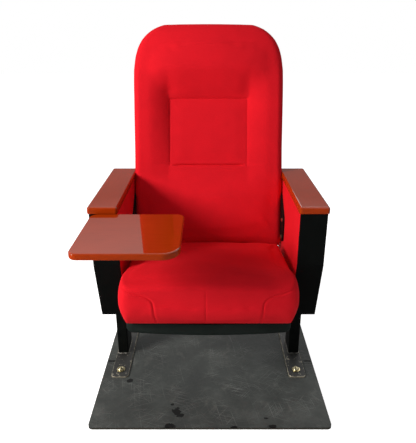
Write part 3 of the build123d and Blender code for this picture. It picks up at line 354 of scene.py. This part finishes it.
def pale_sided_plate(name, side_colour, pale_from):
    """Painted mild-steel plate with a paler metal colour on its steep side faces, picked by their normal, and
    in random patches.
    """
    material, tree, shader, place = new_material(name)
    wear = noise_at(tree, place, 16 * MM, detail=5.0, roughness=0.7)
    point = add_node(tree, "ShaderNodeNewGeometry").outputs["Normal"]
    flat = calculate(tree, "ABSOLUTE", add_node(tree, "ShaderNodeSeparateXYZ", {0: point}).outputs[2])
    # steep faces, picked by the normal, and random patches get the paler metal colour
    edge = calculate(tree, "SUBTRACT", 1.05, flat)
    pale_share = calculate(tree, "MULTIPLY_ADD", edge, 0.55, calculate(tree, "SUBTRACT", wear, 0.42))
    pale_share = ramp(tree, pale_share, (pale_from, grey(0.0)), (pale_from + 0.09, grey(1.0)))
    tree.links.new(mix_colour(tree, pale_share, paint("2A2A28"), paint(side_colour)), shader.inputs["Base Color"])
    tree.links.new(calculate(tree, "MULTIPLY", pale_share, 0.7), shader.inputs["Metallic"])
    dull = add_node(tree, "ShaderNodeMapRange", {"Value": pale_share, "To Min": 0.6, "To Max": 0.42})
    tree.links.new(dull.outputs["Result"], shader.inputs["Roughness"])
    add_bump(tree, shader, wear, 0.15 * MM, 0.4)
    return material


RED_CLOTH = red_upholstery()
WOOD_LONG = lacquered_wood("lacquered_hardwood_armrest", 1)
WOOD_WIDE = lacquered_wood("lacquered_hardwood_tablet", 0)
# ABS from a polished mould: near black, with a dim and even sheen.
BLACK_COVER = moulded_plastic("smooth_black_abs", ("090C0B", "0D100F"), 0.46, 0.9 * MM, 0.10)
# Polypropylene from a matt mould: dark, greenish grey and dull.
DARK_SHELL = moulded_plastic("moulded_dark_polypropylene", ("171F1C", "1E2623"), 0.50, 1.3 * MM, 0.16)
# Moulded rubber: black and without shine.
BLACK_RUBBER = moulded_plastic("black_rubber", ("101010", "181818"), 0.75, 1.0 * MM)
# Nylon as it is moulded, without dye: the colour of bone.
NYLON = moulded_plastic("natural_nylon", ("C9C2AE", "D8D2C0"), 0.45, 1.0 * MM)
POWDER_COAT = powder_coat()
# Steel plated with zinc and passivated: pale yellow, bright where it is rubbed.
ZINC = metal("yellow_zinc_plate", "D9CFAE", "8C7F58", 0.28, 1.5 * MM)
# Drawn spring wire, oiled: grey with dark patches.
SPRING_STEEL = metal("oiled_spring_steel", "8A8A86", "55544F", 0.35, 1.0 * MM)
# Arc weld left bare: grey, rough and smoked dark.
WELD = metal("bare_weld_bead", "8E8C86", "3A3835", 0.5, 1.2 * MM)
MAT_SHEET = scuffed_mat()
# Steel feet: dark paint, with a paler metal colour on their steep side faces.
PALE_SIDED_STEEL = pale_sided_plate("painted_steel_foot_pale_sides", "CFC8B4", 0.21)
PLATE_STEEL = pale_sided_plate("painted_steel_plate", "5E5A52", 0.52)

BY_SLOT = {
    "red_fabric": RED_CLOTH,
    "lacquered_wood": WOOD_LONG,
    "black_cover": BLACK_COVER,
    "dark_shell": DARK_SHELL,
    "black_steel": POWDER_COAT,
    "plate_steel": PALE_SIDED_STEEL,
    "floor_covering": MAT_SHEET,
    "zinc_hardware": ZINC,
    "spring_steel": SPRING_STEEL,
    "nylon": NYLON,
    "stop_rubber": BLACK_RUBBER,
}
# The tablet's grain runs across, and the plate shows the paler metal colour less than the feet do.
OWN_FINISH = {"tablet_top": WOOD_WIDE, "base_plate": PLATE_STEEL}


def finish_cad_nodes():
    """Every CAD node gets its slot's material, apart from the two that have a finish of their own."""
    slots = {part["node"]: part["material_slot"] for part in frame["record"]["subparts"]}
    for name, node in NODES.items():
        material = OWN_FINISH.get(name, BY_SLOT[slots[name]])
        node.data.materials.clear()
        node.data.materials.append(material)


# ------------------------------------------------------------------ mesh tools
def merged_copy(node_name, name):
    """A copy of a CAD node's mesh with its triangles joined up, as a new object."""
    mesh = NODES[node_name].data.copy()
    mesh.name = name
    work = bmesh.new()
    work.from_mesh(mesh)
    bmesh.ops.remove_doubles(work, verts=work.verts, dist=0.01 * MM)
    work.to_mesh(mesh)
    work.free()
    for layer in list(mesh.uv_layers):
        mesh.uv_layers.remove(layer)
    piece = bpy.data.objects.new(name, mesh)
    bpy.context.scene.collection.objects.link(piece)
    return piece


def apply_modifiers(piece):
    """Turns a piece's modified shape into its plain mesh."""
    graph = bpy.context.evaluated_depsgraph_get()
    mesh = bpy.data.meshes.new_from_object(piece.evaluated_get(graph))
    piece.modifiers.clear()
    piece.data = mesh


def cover_in_cloth(piece):
    """The red cloth, shaded smooth."""
    mesh = piece.data
    mesh.materials.append(RED_CLOTH)
    mesh.polygons.foreach_set("use_smooth", [True] * len(mesh.polygons))
    mesh.update()


def swell(piece, cap, fixed):
    """Cloth under pressure: the pad swells from its starting shape, by no more than the cap.

    Points for which fixed(place) is true stay where they are.
    """
    start = [v.co.copy() for v in piece.data.vertices]
    group = piece.vertex_groups.new(name="held")
    group.add([v.index for v in piece.data.vertices if fixed(v.co)], 1.0, "REPLACE")
    cloth = piece.modifiers.new("cloth", "CLOTH")
    settings = cloth.settings
    settings.quality = 5
    settings.mass = 0.3
    settings.tension_stiffness = 25
    settings.compression_stiffness = 15
    settings.shear_stiffness = 10
    settings.bending_stiffness = 1.5
    settings.vertex_group_mass = "held"
    settings.use_pressure = True
    settings.uniform_pressure_force = PAD_PRESSURE
    settings.effector_weights.gravity = 0.0
    cloth.point_cache.frame_start = 1
    cloth.point_cache.frame_end = PAD_FRAMES
    scene = bpy.context.scene
    for step in range(1, PAD_FRAMES + 1):
        scene.frame_set(step)
    apply_modifiers(piece)
    scene.frame_set(1)
    for vertex, origin in zip(piece.data.vertices, start):
        move = vertex.co - origin
        if move.length > cap:
            vertex.co = origin + move.normalized() * cap
    piece.vertex_groups.clear()


def make_pad(node_name, name, voxel, cap, fixed, reshape=None):
    """A stuffed pad from its CAD solid: remeshed, shrunk, swollen as cloth and smoothed."""
    piece = merged_copy(node_name, name)
    remesh = piece.modifiers.new("voxels", "REMESH")
    remesh.mode = "VOXEL"
    remesh.voxel_size = voxel
    apply_modifiers(piece)
    if reshape:
        reshape(piece)
    relax = piece.modifiers.new("relax", "CORRECTIVE_SMOOTH")
    relax.factor = 0.5
    relax.iterations = 6
    relax.use_only_smooth = True
    apply_modifiers(piece)
    mesh = piece.data
    normals = [v.normal.copy() for v in mesh.vertices]
    for vertex, normal in zip(mesh.vertices, normals):
        if not fixed(vertex.co):
            vertex.co -= normal * PAD_SHRINK
    swell(piece, cap, fixed)
    relax = piece.modifiers.new("relax", "SMOOTH")
    relax.factor = 0.5
    relax.iterations = 3
    finer = piece.modifiers.new("finer", "SUBSURF")
    finer.levels = 1
    finer.render_levels = 1
    apply_modifiers(piece)
    return piece


def get_places(mesh):
    """All the mesh's points as an array."""
    places = np.empty(3 * len(mesh.vertices), np.float32)
    mesh.vertices.foreach_get("co", places)
    return places.reshape(-1, 3).astype(float)


def get_normals(mesh):
    """The normals of all the mesh's points."""
    normals = np.empty(3 * len(mesh.vertices), np.float32)
    mesh.vertex_normals.foreach_get("vector", normals)
    return normals.reshape(-1, 3).astype(float)


def set_places(mesh, places):
    """Puts the mesh's points at these places."""
    mesh.vertices.foreach_set("co", places.astype(np.float32).ravel())
    mesh.update()


def rise(value, low, high):
    """0 below low, 1 above high and smooth in between."""
    part = np.clip((np.asarray(value, float) - low) / (high - low), 0, 1)
    return part * part * (3 - 2 * part)


def between(value, start, full, fade, end):
    """0 below start and above end, 1 from full to fade and smooth elsewhere."""
    return rise(value, start, full) * (1 - rise(value, fade, end))


def reach_limits(places, least, most):
    """Moves each point towards or away from the seat's pivot, to between these distances from it."""
    apart = places[:, 1:] - SEAT_PIVOT
    reach = np.linalg.norm(apart, axis=1)
    places[:, 1:] = SEAT_PIVOT + apart * (np.clip(reach, least, most) / reach)[:, None]


def even_out(piece, weights, rounds):
    """Evens out the skin where the weights are above 0, in ten grades."""
    group = piece.vertex_groups.new(name="evened")
    for grade in range(1, 11):
        chosen = np.nonzero(np.round(weights * 10) == grade)[0]
        group.add(chosen.tolist(), grade / 10, "REPLACE")
    even = piece.modifiers.new("even", "SMOOTH")
    even.factor = 0.5
    even.iterations = rounds
    even.vertex_group = "evened"
    apply_modifiers(piece)
    piece.vertex_groups.clear()


def distance_to_path(points, path):
    """Each point's distance in the plane from a run of points, and how far along it, 0 to 1, it is."""
    path = np.array(path, float)
    steps = np.diff(path, axis=0)
    lengths = np.linalg.norm(steps, axis=1)
    starts = np.concatenate([[0], np.cumsum(lengths)])
    best_gap = np.full(len(points), 1e9)
    best_along = np.zeros(len(points))
    for start, step, length, before in zip(path, steps, lengths, starts):
        along = np.clip((points - start) @ step / length**2, 0, 1)
        gap = np.linalg.norm(points - start - along[:, None] * step, axis=1)
        nearer = gap < best_gap
        best_gap[nearer] = gap[nearer]
        best_along[nearer] = ((before + along * length) / starts[-1])[nearer]
    return best_gap, best_along


def fill_out(piece, node_name, relief, where):
    """Fills a pad up to just inside the CAD solid's skin, with part of the cloth's relief kept."""
    source = NODES[node_name].data
    skin = BVHTree.FromPolygons([v.co for v in source.vertices], [p.vertices for p in source.polygons])
    places = get_places(piece.data)
    chosen = np.nonzero(where(places))[0]
    for index in chosen:
        place = Vector(places[index])
        near, normal, _, _ = skin.find_nearest(place)
        height = (place - near).dot(normal)
        if height < -SKIN_GAP:
            places[index] += np.array(normal) * (-SKIN_GAP - height) * (1 - relief)
    set_places(piece.data, places)


def smooth_path(points, steps=8):
    """A Catmull-Rom curve through a few points, as a finer run of points."""
    points = np.array(points, float)
    ends = np.vstack([2 * points[0] - points[1], points, 2 * points[-1] - points[-2]])
    path = []
    for p0, p1, p2, p3 in zip(ends, ends[1:], ends[2:], ends[3:]):
        for t in np.arange(steps) / steps:
            bend = (2 * p0 - 5 * p1 + 4 * p2 - p3) * t * t + (3 * p1 - p0 - 3 * p2 + p3) * t**3
            path.append(0.5 * (2 * p1 + (p2 - p0) * t + bend))
    return path + [points[-1]]


def refine_near(mesh, chosen):
    """Splits the edges between chosen points, so that a seam can be drawn in sharply."""
    work = bmesh.new()
    work.from_mesh(mesh)
    edges = [edge for edge in work.edges if chosen[edge.verts[0].index] and chosen[edge.verts[1].index]]
    bmesh.ops.subdivide_edges(work, edges=edges, cuts=1, use_grid_fill=True)
    work.to_mesh(mesh)
    work.free()


def draw_in(piece, flatten, facing, path, width, depth, fade, swelling=0.0):
    """Draws the skin in along a seam, seen flattened, and lets it swell a little on either side.

    Only skin for which facing(places, normals) is true moves. Fade is the share of the path at each
    end over which the seam runs out.
    """
    mesh = piece.data
    gap, _ = distance_to_path(flatten(get_places(mesh)), path)
    refine_near(mesh, facing(get_places(mesh), get_normals(mesh)) & (gap < 3.2 * width))
    places = get_places(mesh)
    normals = get_normals(mesh)
    gap, along = distance_to_path(flatten(places), path)
    ends = np.clip(np.minimum(along, 1 - along) / fade, 0, 1)
    inward = depth * np.exp(-((gap / width) ** 2))
    outward = swelling * np.exp(-(((gap - 3 * width) / (1.6 * width)) ** 2))
    move = (outward - inward) * ends * facing(places, normals)
    set_places(mesh, places + normals * move[:, None])


def crumple(piece, size, depth, where, seed):
    """Slow, slight unevenness, as in a pad that has been sat on."""
    mesh = piece.data
    places = get_places(mesh)
    offset = Vector((seed, seed * 1.7, seed * 0.6))
    uneven = np.array([noise.noise(Vector(place) / size + offset) for place in places])
    set_places(mesh, places + get_normals(mesh) * (uneven * depth * where(places))[:, None])


# ------------------------------------------------------------------ camera, light and stage
def make_camera():
    """The photograph's camera, as a pinhole fitted to the armrests, the tablet and the floor plate."""
    camera = bpy.data.cameras.new("camera")
    camera.sensor_width = SENSOR_WIDTH
    camera.lens = SENSOR_WIDTH * FOCAL_PIXELS / IMAGE_LONG_SIDE
    camera.shift_x = -0.5 / IMAGE_LONG_SIDE
    eye = bpy.data.objects.new("camera", camera)
    eye.location = EYE_PLACE
    eye.rotation_euler = (math.radians(90 - EYE_PITCH), 0, 0)
    bpy.context.scene.collection.objects.link(eye)
    bpy.context.scene.camera = eye


def make_light(name, place, target, width, watts, colour):
    """A square area light that faces its target."""
    lamp = bpy.data.lights.new(name, "AREA")
    lamp.shape = "RECTANGLE"
    lamp.size = width
    lamp.size_y = width
    lamp.energy = watts
    lamp.color = paint(colour)[:3]
    holder = bpy.data.objects.new(name, lamp)
    holder.location = place
    holder.rotation_euler = (Vector(target) - Vector(place)).to_track_quat("-Z", "Y").to_euler()
    bpy.context.scene.collection.objects.link(holder)


def make_backdrop():
    """White to the eye and dim all round; in reflections white from behind and above, as in a studio."""
    world = bpy.data.worlds.new("studio")
    bpy.context.scene.world = world
    world.use_nodes = True
    tree = world.node_tree
    path = add_node(tree, "ShaderNodeLightPath")
    level = add_node(
        tree, "ShaderNodeMapRange", {"Value": path.outputs["Is Camera Ray"], "To Min": AMBIENT, "To Max": 1.0}
    )
    heading = add_node(tree, "ShaderNodeTexCoord").outputs["Generated"]
    towards = add_node(tree, "ShaderNodeSeparateXYZ", {0: heading})
    behind = add_node(
        tree,
        "ShaderNodeMapRange",
        {"Value": towards.outputs["Y"], "From Min": -0.4, "From Max": 0.3, "To Min": 0.15, "To Max": 1.0},
    )
    higher = add_node(
        tree,
        "ShaderNodeMapRange",
        {"Value": towards.outputs["Z"], "From Min": 0.31, "From Max": 0.46, "To Min": 0.25, "To Max": 1.0},
    )
    mirrored = calculate(tree, "MULTIPLY", behind.outputs["Result"], higher.outputs["Result"])
    mirrored = calculate(tree, "SUBTRACT", mirrored, AMBIENT)
    strength = calculate(
        tree, "MULTIPLY_ADD", path.outputs["Is Glossy Ray"], mirrored, level.outputs["Result"]
    )
    background = tree.nodes["Background"]
    background.inputs["Color"].default_value = grey(1.0)
    tree.links.new(strength, background.inputs["Strength"])


def make_floor():
    """White paper on the floor: it glows to the eye, keeps a faint shadow and is dim in reflections."""
    material, tree, shader, place = new_material("white_paper_floor", Roughness=0.9, Specular_IOR_Level=0.1)
    paper = noise_at(tree, place, 400 * MM, detail=1.0)
    tone = ramp(tree, paper, (0.3, grey(0.80)), (0.7, grey(0.82)))
    tree.links.new(tone, shader.inputs["Base Color"])
    path = add_node(tree, "ShaderNodeLightPath")
    glow = calculate(tree, "MULTIPLY", path.outputs["Is Camera Ray"], FLOOR_GLOW)
    white = add_node(tree, "ShaderNodeEmission", {"Strength": glow})
    both = add_node(tree, "ShaderNodeAddShader", {0: shader.outputs[0], 1: white.outputs[0]})
    dim = add_node(tree, "ShaderNodeEmission", {"Strength": FLOOR_MIRRORED})
    seen = add_node(
        tree, "ShaderNodeMixShader", {0: path.outputs["Is Glossy Ray"], 1: both.outputs[0], 2: dim.outputs[0]}
    )
    tree.links.new(seen.outputs[0], tree.nodes["Material Output"].inputs["Surface"])

    mesh = bpy.data.meshes.new("floor")
    far = FLOOR_REACH
    mesh.from_pydata([(-far, -far, 0), (far, -far, 0), (far, far, 0), (-far, far, 0)], [], [(0, 1, 2, 3)])
    mesh.materials.append(material)
    floor = bpy.data.objects.new("floor", mesh)
    floor.location.z = -FLOOR_DROP
    bpy.context.scene.collection.objects.link(floor)


def make_studio():
    """Backdrop, floor and three soft lights."""
    make_backdrop()
    make_floor()
    for lamp in LAMPS:
        make_light(*lamp)


# ------------------------------------------------------------------ weld beads, by Geometry Nodes
LEG_CORNER = 4 * MM  # radius of the legs' corners
BEAD_OUT = 0.4 * MM  # from the leg's face to the bead's middle
BEAD_LIFT = 0.6 * MM  # of the bead's middle over the foot plate
# The node group's inputs: name, kind and value, with sizes in metres.
BEAD_INPUTS = (
    ("Pitch", "NodeSocketFloat", 2.4 * MM),
    ("Radius", "NodeSocketFloat", 2.6 * MM),
    ("Unevenness", "NodeSocketFloat", 0.25),
    ("Seed", "NodeSocketInt", 7),
    ("Material", "NodeSocketMaterial", None),
)


def bead_group():
    """Geometry nodes: overlapping ripples laid along a curve, which make one bead."""
    tree = bpy.data.node_groups.new("weld_bead", "GeometryNodeTree")
    face = tree.interface
    face.new_socket("Curve", in_out="INPUT", socket_type="NodeSocketGeometry")
    for name, kind, value in BEAD_INPUTS:
        socket = face.new_socket(name, in_out="INPUT", socket_type=kind)
        if value is not None:
            socket.default_value = value
    face.new_socket("Bead", in_out="OUTPUT", socket_type="NodeSocketGeometry")
    given = add_node(tree, "NodeGroupInput").outputs
    points = add_node(
        tree, "GeometryNodeCurveToPoints", {"Curve": given["Curve"], "Length": given["Pitch"]}, mode="LENGTH"
    )
    least = calculate(tree, "SUBTRACT", 1.0, given["Unevenness"])
    most = calculate(tree, "ADD", 1.0, given["Unevenness"])
    uneven = add_node(tree, "FunctionNodeRandomValue", {2: least, 3: most, "Seed": given["Seed"]})
    ball = add_node(tree, "GeometryNodeMeshUVSphere", {"Segments": 12, "Rings": 8, "Radius": given["Radius"]})
    ripple = add_node(tree, "GeometryNodeSetShadeSmooth", {"Geometry": ball.outputs["Mesh"]})
    placed = add_node(
        tree,
        "GeometryNodeInstanceOnPoints",
        {
            "Points": points.outputs["Points"],
            "Instance": ripple.outputs["Geometry"],
            "Rotation": points.outputs["Rotation"],
            "Scale": uneven.outputs[1],
        },
    )
    real = add_node(tree, "GeometryNodeRealizeInstances", {"Geometry": placed.outputs["Instances"]})
    done = add_node(
        tree, "GeometryNodeSetMaterial", {"Geometry": real.outputs["Geometry"], "Material": given["Material"]}
    )
    add_node(tree, "NodeGroupOutput", {"Bead": done.outputs["Geometry"]})
    return tree


def lay_along(points, group, name, **inputs):
    """Lays a node group's repeats along a run of points, and leaves them as one plain mesh."""
    curve = bpy.data.curves.new(name, "CURVE")
    curve.dimensions = "3D"
    spline = curve.splines.new("POLY")
    spline.points.add(len(points) - 1)
    for point, place in zip(spline.points, points):
        point.co = (*place, 1)
    path = bpy.data.objects.new(name, curve)
    bpy.context.scene.collection.objects.link(path)
    repeat = path.modifiers.new("repeat", "NODES")
    repeat.node_group = group
    sockets = {item.name: item.identifier for item in group.interface.items_tree if item.in_out == "INPUT"}
    for key, value in inputs.items():
        repeat[sockets[key]] = value
    graph = bpy.context.evaluated_depsgraph_get()
    mesh = bpy.data.meshes.new_from_object(path.evaluated_get(graph))
    bpy.data.objects.remove(path)
    piece = bpy.data.objects.new(name, mesh)
    bpy.context.scene.collection.objects.link(piece)
    return piece


def ring_round(low, high, height):
    """A closed run of points round a leg, at this height over the floor."""
    middle = (low + high) / 2
    reach = LEG_CORNER + BEAD_OUT
    ring = []
    for x, y, turn in ((high.x, high.y, 0), (low.x, high.y, 90), (low.x, low.y, 180), (high.x, low.y, 270)):
        across = x - math.copysign(LEG_CORNER, x - middle.x)
        along = y - math.copysign(LEG_CORNER, y - middle.y)
        for step in range(4):
            angle = math.radians(turn + step * 30)
            ring.append((across + reach * math.cos(angle), along + reach * math.sin(angle), height))
    return ring + [ring[0]]


def weld_legs():
    """A bead round the foot of each leg, where it stands on its foot plate."""
    group = bead_group()
    for side, seed in (("right", 5), ("left", 11)):
        low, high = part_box("leg_" + side)
        ring = ring_round(low, high, low.z + BEAD_LIFT)
        bead = lay_along(ring, group, "weld_" + side, Material=WELD, Seed=seed)
        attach(bead, "base")


# ------------------------------------------------------------------ seat pad
SEAT_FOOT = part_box("seat_cushion")[0].z
SEAT_VOXEL = 5.4 * MM
SEAT_HALF = 247.0 * MM  # in front of the armrests
SEAT_HALF_AT_ARMS = 243.4 * MM  # between the seat's steel side arms
ARMS_FRONT = -222 * MM  # the side arms' front end
NOSE_FRONT = -270 * MM  # the nose's front face lies ahead of this
NOSE_REACH = 317.0 * MM  # from the seat's pivot, so that the seat tips past the tablet
REAR_REACH = 114.0 * MM  # from the seat's pivot, so that the seat tips past the back
NOSE_BULGE = 5 * MM  # to either side, as at the rear
REAR_BULGE = 9 * MM
# Places across and up of a side seam and of the middle seam, in millimetres.
SIDE_SEAM = ((243, 452), (222, 446), (198, 438), (176, 431), (160, 422), (150, 408), (147, 372), (144, 314))
MIDDLE_SEAM = ((-7, 452), (-7, 420), (-7, 380), (-7, 314))


def seat_fixed(place):
    """The seat pad is held where it sits in the pan."""
    return place.z < SEAT_FOOT + 6 * MM


def front_view(places):
    """Places as seen from in front."""
    return places[:, [0, 2]]


def faces_front(places, normals):
    """True on the nose's front."""
    return (normals[:, 1] < -0.15) & (places[:, 1] < NOSE_FRONT)


def limit_seat(piece):
    """Keeps the seat pad clear of the armrests, the seat's arms, the tablet, the back and the pan's rim."""
    places = get_places(piece.data)
    x, y, z = places.T
    half = SEAT_HALF - (SEAT_HALF - SEAT_HALF_AT_ARMS) * rise(y, ARMS_FRONT - 12 * MM, ARMS_FRONT)
    places[:, 0] = np.clip(x, -half, half)
    places[:, 2] = np.maximum(z, SEAT_FOOT)
    reach_limits(places, 0, np.where(places[:, 1] < SEAT_PIVOT[0], NOSE_REACH, REAR_REACH))
    set_places(piece.data, places)


def widen_seat(piece):
    """The nose bulges on its sides, in front of the armrests, and the rear corners are stuffed out."""
    places = get_places(piece.data)
    x, y, z = places.T
    nose = between(z, 325 * MM, 405 * MM, 436 * MM, 490 * MM) * (1 - rise(y, -275 * MM, -235 * MM))
    rear = rise(y, -15 * MM, 25 * MM) * rise(z, 350 * MM, 380 * MM)
    sides = rise(abs(x), 180 * MM, 240 * MM)
    places[:, 0] += np.sign(x) * (NOSE_BULGE * nose + REAR_BULGE * rear) * sides
    set_places(piece.data, places)
    even_out(piece, rise(z, SEAT_FOOT + 12 * MM, SEAT_FOOT + 30 * MM), 14)


def make_seat_pad():
    """The tip-up cushion's cover: a full round nose, with a curved seam on each side and one amid."""
    piece = make_pad("seat_cushion", "seat_pad_cover", SEAT_VOXEL, SEAT_CAP, seat_fixed)
    fill_out(piece, "seat_cushion", 0.2, lambda places: places[:, 2] > SEAT_FOOT + 1 * MM)
    crumple(piece, 85 * MM, 0.8 * MM, lambda places: places[:, 2] > SEAT_FOOT + 25 * MM, 3.1)
    widen_seat(piece)
    limit_seat(piece)
    for side in (-1, 1):
        seam = smooth_path([(side * x * MM, z * MM) for x, z in SIDE_SEAM])
        size = {"width": 2.4 * MM, "depth": 2.0 * MM, "swelling": 0.4 * MM}
        draw_in(piece, front_view, faces_front, seam, fade=0.16, **size)
    seam = [(x * MM, z * MM) for x, z in MIDDLE_SEAM]
    draw_in(piece, front_view, faces_front, seam, width=2.2 * MM, depth=0.9 * MM, fade=0.15)
    limit_seat(piece)
    cover_in_cloth(piece)
    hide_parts("seat_cushion")
    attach(piece, "seat")


# ------------------------------------------------------------------ back pad
BACK_LEAN = math.radians(14.5)
BACK_FOOT = np.array([0.0, 30.8 * MM, 412 * MM])
INTO_BACK = np.array([0.0, math.cos(BACK_LEAN), -math.sin(BACK_LEAN)])
UP_BACK = np.array([0.0, math.sin(BACK_LEAN), math.cos(BACK_LEAN)])
BACK_VOXEL = 6.7 * MM
BACK_HALF = 249.0 * MM
SEAT_SWEEP = 119.0 * MM  # from the seat's pivot, so that the seat tips clear of the back

# From here on the back's sizes are in millimetres, across, up the lean and into the back.
# Face of the pad before the panel is pressed in: place up, half width, depth there, depth amid.
BACK_FACE = np.array(
    [
        (150, 232, 6, -8),
        (205, 231, 5, -7.4),
        (260, 230, 4, -7.4),
        (320, 229.5, 3, -7.8),
        (380, 229, 2, -9.2),
        (435, 228.5, 1, -11),
        (490, 228, 0, -13.2),
        (560, 224, 0, -16),
        (630, 212, 4, -14),
    ]
)
PANEL_HALF = 130
PANEL_FOOT = 265
PANEL_TOP = 486
PANEL_DEPTH = (13, 29)  # of the pressed-in panel, at its foot and at its top
PANEL_CROWN = 2.5  # of the stuffing inside the panel
SIDE_ROLL = 88  # widths of the slopes beside, above and below the panel
HEAD_ROLL = 118
LAP_ROLL = 80
LAP_SHARE = 0.8  # depth of the slope below the panel, beside that of the others
ROLL_SHAPE = 2.4  # 1 is a straight slope, and more is steeper next to the panel
SEAM_ABOVE = 5  # depth of the side rolls' seams where they run on above the panel, and below it
SEAM_BELOW = 3
SEAM_WIDTH = (17, 24)  # of these seams' slopes, away from the middle and towards it
HOLLOW = 14  # depth of the whole face's hollow, and its half width
HOLLOW_HALF = 232
HEAD_SWELL = 9  # height of the head roll, the place of its crest and its half width
HEAD_CREST = 578
HEAD_SPREAD = 46
SIDE_SWELL = 7  # bulge of the sides, and what is added to it at the foot
FOOT_SWELL = 3
HANG = 12  # of the bottom corners, behind the seat
CREASE_INSET = 8  # of the crease's ends from the panel's sides


def on_lean(places):
    """Each point's place across, up and into the leaning back, in millimetres."""
    apart = (places - BACK_FOOT) / MM
    return apart[:, 0], apart @ UP_BACK, apart @ INTO_BACK


def back_fixed(place):
    """The back pad is held where it lies against the shell."""
    return (np.array(place) - BACK_FOOT) @ INTO_BACK > 47 * MM


def panel_weight(places):
    """1 over the face round the CAD solid's plain panel, 0 well away from it."""
    across, up, depth = on_lean(places)
    return (1 - rise(abs(across), 178, 192)) * between(up, 218, 236, 556, 576) * (depth < 30)


def fill_panel(piece, relief=0.0):
    """Sets the face level again where the CAD solid has its plain panel."""
    places = get_places(piece.data)
    across, up, depth = on_lean(places)
    half, edge, middle = (np.interp(up, BACK_FACE[:, 0], BACK_FACE[:, column]) for column in (1, 2, 3))
    level = middle + (edge - middle) * (across / half) ** 2
    move = (level - depth) * (1 - relief) * panel_weight(places) * MM
    set_places(piece.data, places + move[:, None] * INTO_BACK)


def panel_relief(across, up):
    """Depth that the cover is drawn in round and inside the stitched panel."""
    foot_depth, top_depth = PANEL_DEPTH
    floor = foot_depth + (top_depth - foot_depth) * rise(up, PANEL_FOOT - 20, PANEL_TOP + 20)
    beside = abs(across) - PANEL_HALF
    above = up - PANEL_TOP
    below = PANEL_FOOT - up
    edge = np.minimum(np.minimum(-beside, -above), -below)
    inside = floor - PANEL_CROWN * rise(edge, 0, 46)
    side_out, head_out, lap_out = (np.maximum(gap, 0) for gap in (beside, above, below))
    away = np.sqrt((side_out / SIDE_ROLL) ** 2 + (head_out / HEAD_ROLL) ** 2 + (lap_out / LAP_ROLL) ** 2)
    outside = floor * np.maximum(0, 1 - away) ** ROLL_SHAPE * np.where(below <= 0, 1, LAP_SHARE)
    # the side rolls' seams run on above and below the panel and fade
    run_above = SEAM_ABOVE * (1 - rise(head_out, 10, 110))
    run_below = SEAM_BELOW * (1 - rise(lap_out, 0, 90))
    run_on = np.where(above > 0, run_above, run_below) * rise(np.maximum(head_out, lap_out), 0, 30)
    outside += run_on * np.exp(-((beside / np.where(beside > 0, *SEAM_WIDTH)) ** 2))
    hollow = HOLLOW * (1 - (across / HOLLOW_HALF) ** 2) * between(up, 150, 230, 530, 640)
    swell_out = HEAD_SWELL * np.exp(-(((up - HEAD_CREST) / HEAD_SPREAD) ** 2))
    swell_out = swell_out * (1 - rise(abs(across), 100, HOLLOW_HALF))
    return np.where(edge >= 0, inside, outside) + hollow - swell_out


def press_panel(piece):
    """Presses the panel and its rolls into the face."""
    places = get_places(piece.data)
    across, up, depth = on_lean(places)
    face = (depth < 32) & (abs(across) < HOLLOW_HALF - 1) & (up > 150) & (up < 660)
    set_places(piece.data, places + (panel_relief(across, up) * face * MM)[:, None] * INTO_BACK)


def widen_back(piece):
    """The stuffed cover bulges past its solid at the sides, and hangs down behind the seat."""
    places = get_places(piece.data)
    across, up, depth = on_lean(places)
    bulge = SIDE_SWELL + FOOT_SWELL * (1 - rise(up, 150, 330))
    places[:, 0] += np.sign(across) * bulge * rise(abs(across), 150, 236) * MM
    places[:, 0] = np.clip(places[:, 0], -BACK_HALF, BACK_HALF)
    hang = HANG * rise(abs(across), 120, 225) * (1 - rise(up, 12, 70)) * rise(depth, 8, 26)
    places -= (hang * MM)[:, None] * UP_BACK
    reach_limits(places, SEAT_SWEEP, np.inf)
    set_places(piece.data, places)


def level_face(piece):
    """Takes out the small folds that the simulation leaves, most of all on the plain face."""
    across, up, depth = on_lean(get_places(piece.data))
    even_out(piece, 1 - rise(depth, 34, 46), 30)
    face = (1 - rise(abs(across), 200, 226)) * between(up, 150, 190, 590, 625)
    even_out(piece, face * (1 - rise(depth, 8, 20)), 70)


def faces_sitter(places, normals):
    """True on the back's face."""
    return (normals @ INTO_BACK < -0.2) & (abs(places[:, 0]) < 200 * MM)


def back_view(places):
    """Places as seen square on to the leaning back."""
    across, up, _ = on_lean(places)
    return np.stack([across, up], axis=1) * MM


def make_back_pad():
    """The high back's cover: a pressed-in panel with a crease below, side rolls and a full head roll."""
    piece = make_pad("back_cushion", "back_pad_cover", BACK_VOXEL, BACK_CAP, back_fixed, fill_panel)
    fill_out(piece, "back_cushion", 0.05, lambda places: panel_weight(places) == 0)
    fill_panel(piece, 0.05)
    crumple(piece, 110 * MM, 0.5 * MM, lambda places: on_lean(places)[2] < 36, 9.4)
    level_face(piece)
    widen_back(piece)
    press_panel(piece)
    foot, top, half = PANEL_FOOT * MM, PANEL_TOP * MM, PANEL_HALF * MM
    end = half - CREASE_INSET * MM
    size = {"width": 2.6 * MM, "depth": 5.0 * MM, "swelling": 0.9 * MM}
    draw_in(piece, back_view, faces_sitter, [(-end, foot), (end, foot)], fade=0.07, **size)
    size = {"width": 2.4 * MM, "depth": 1.6 * MM}
    draw_in(piece, back_view, faces_sitter, [(-half, top), (half, top)], fade=0.03, **size)
    size = {"width": 2.4 * MM, "depth": 1.2 * MM}
    for x in (-half, half):
        draw_in(piece, back_view, faces_sitter, [(x, foot), (x, top)], fade=0.05, **size)
    cover_in_cloth(piece)
    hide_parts("back_cushion")
    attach(piece, "base")


# ------------------------------------------------------------------ the scene
finish_cad_nodes()
make_camera()
make_studio()
make_seat_pad()
make_back_pad()
weld_legs()

bpy.context.scene.view_settings.view_transform = "Standard"
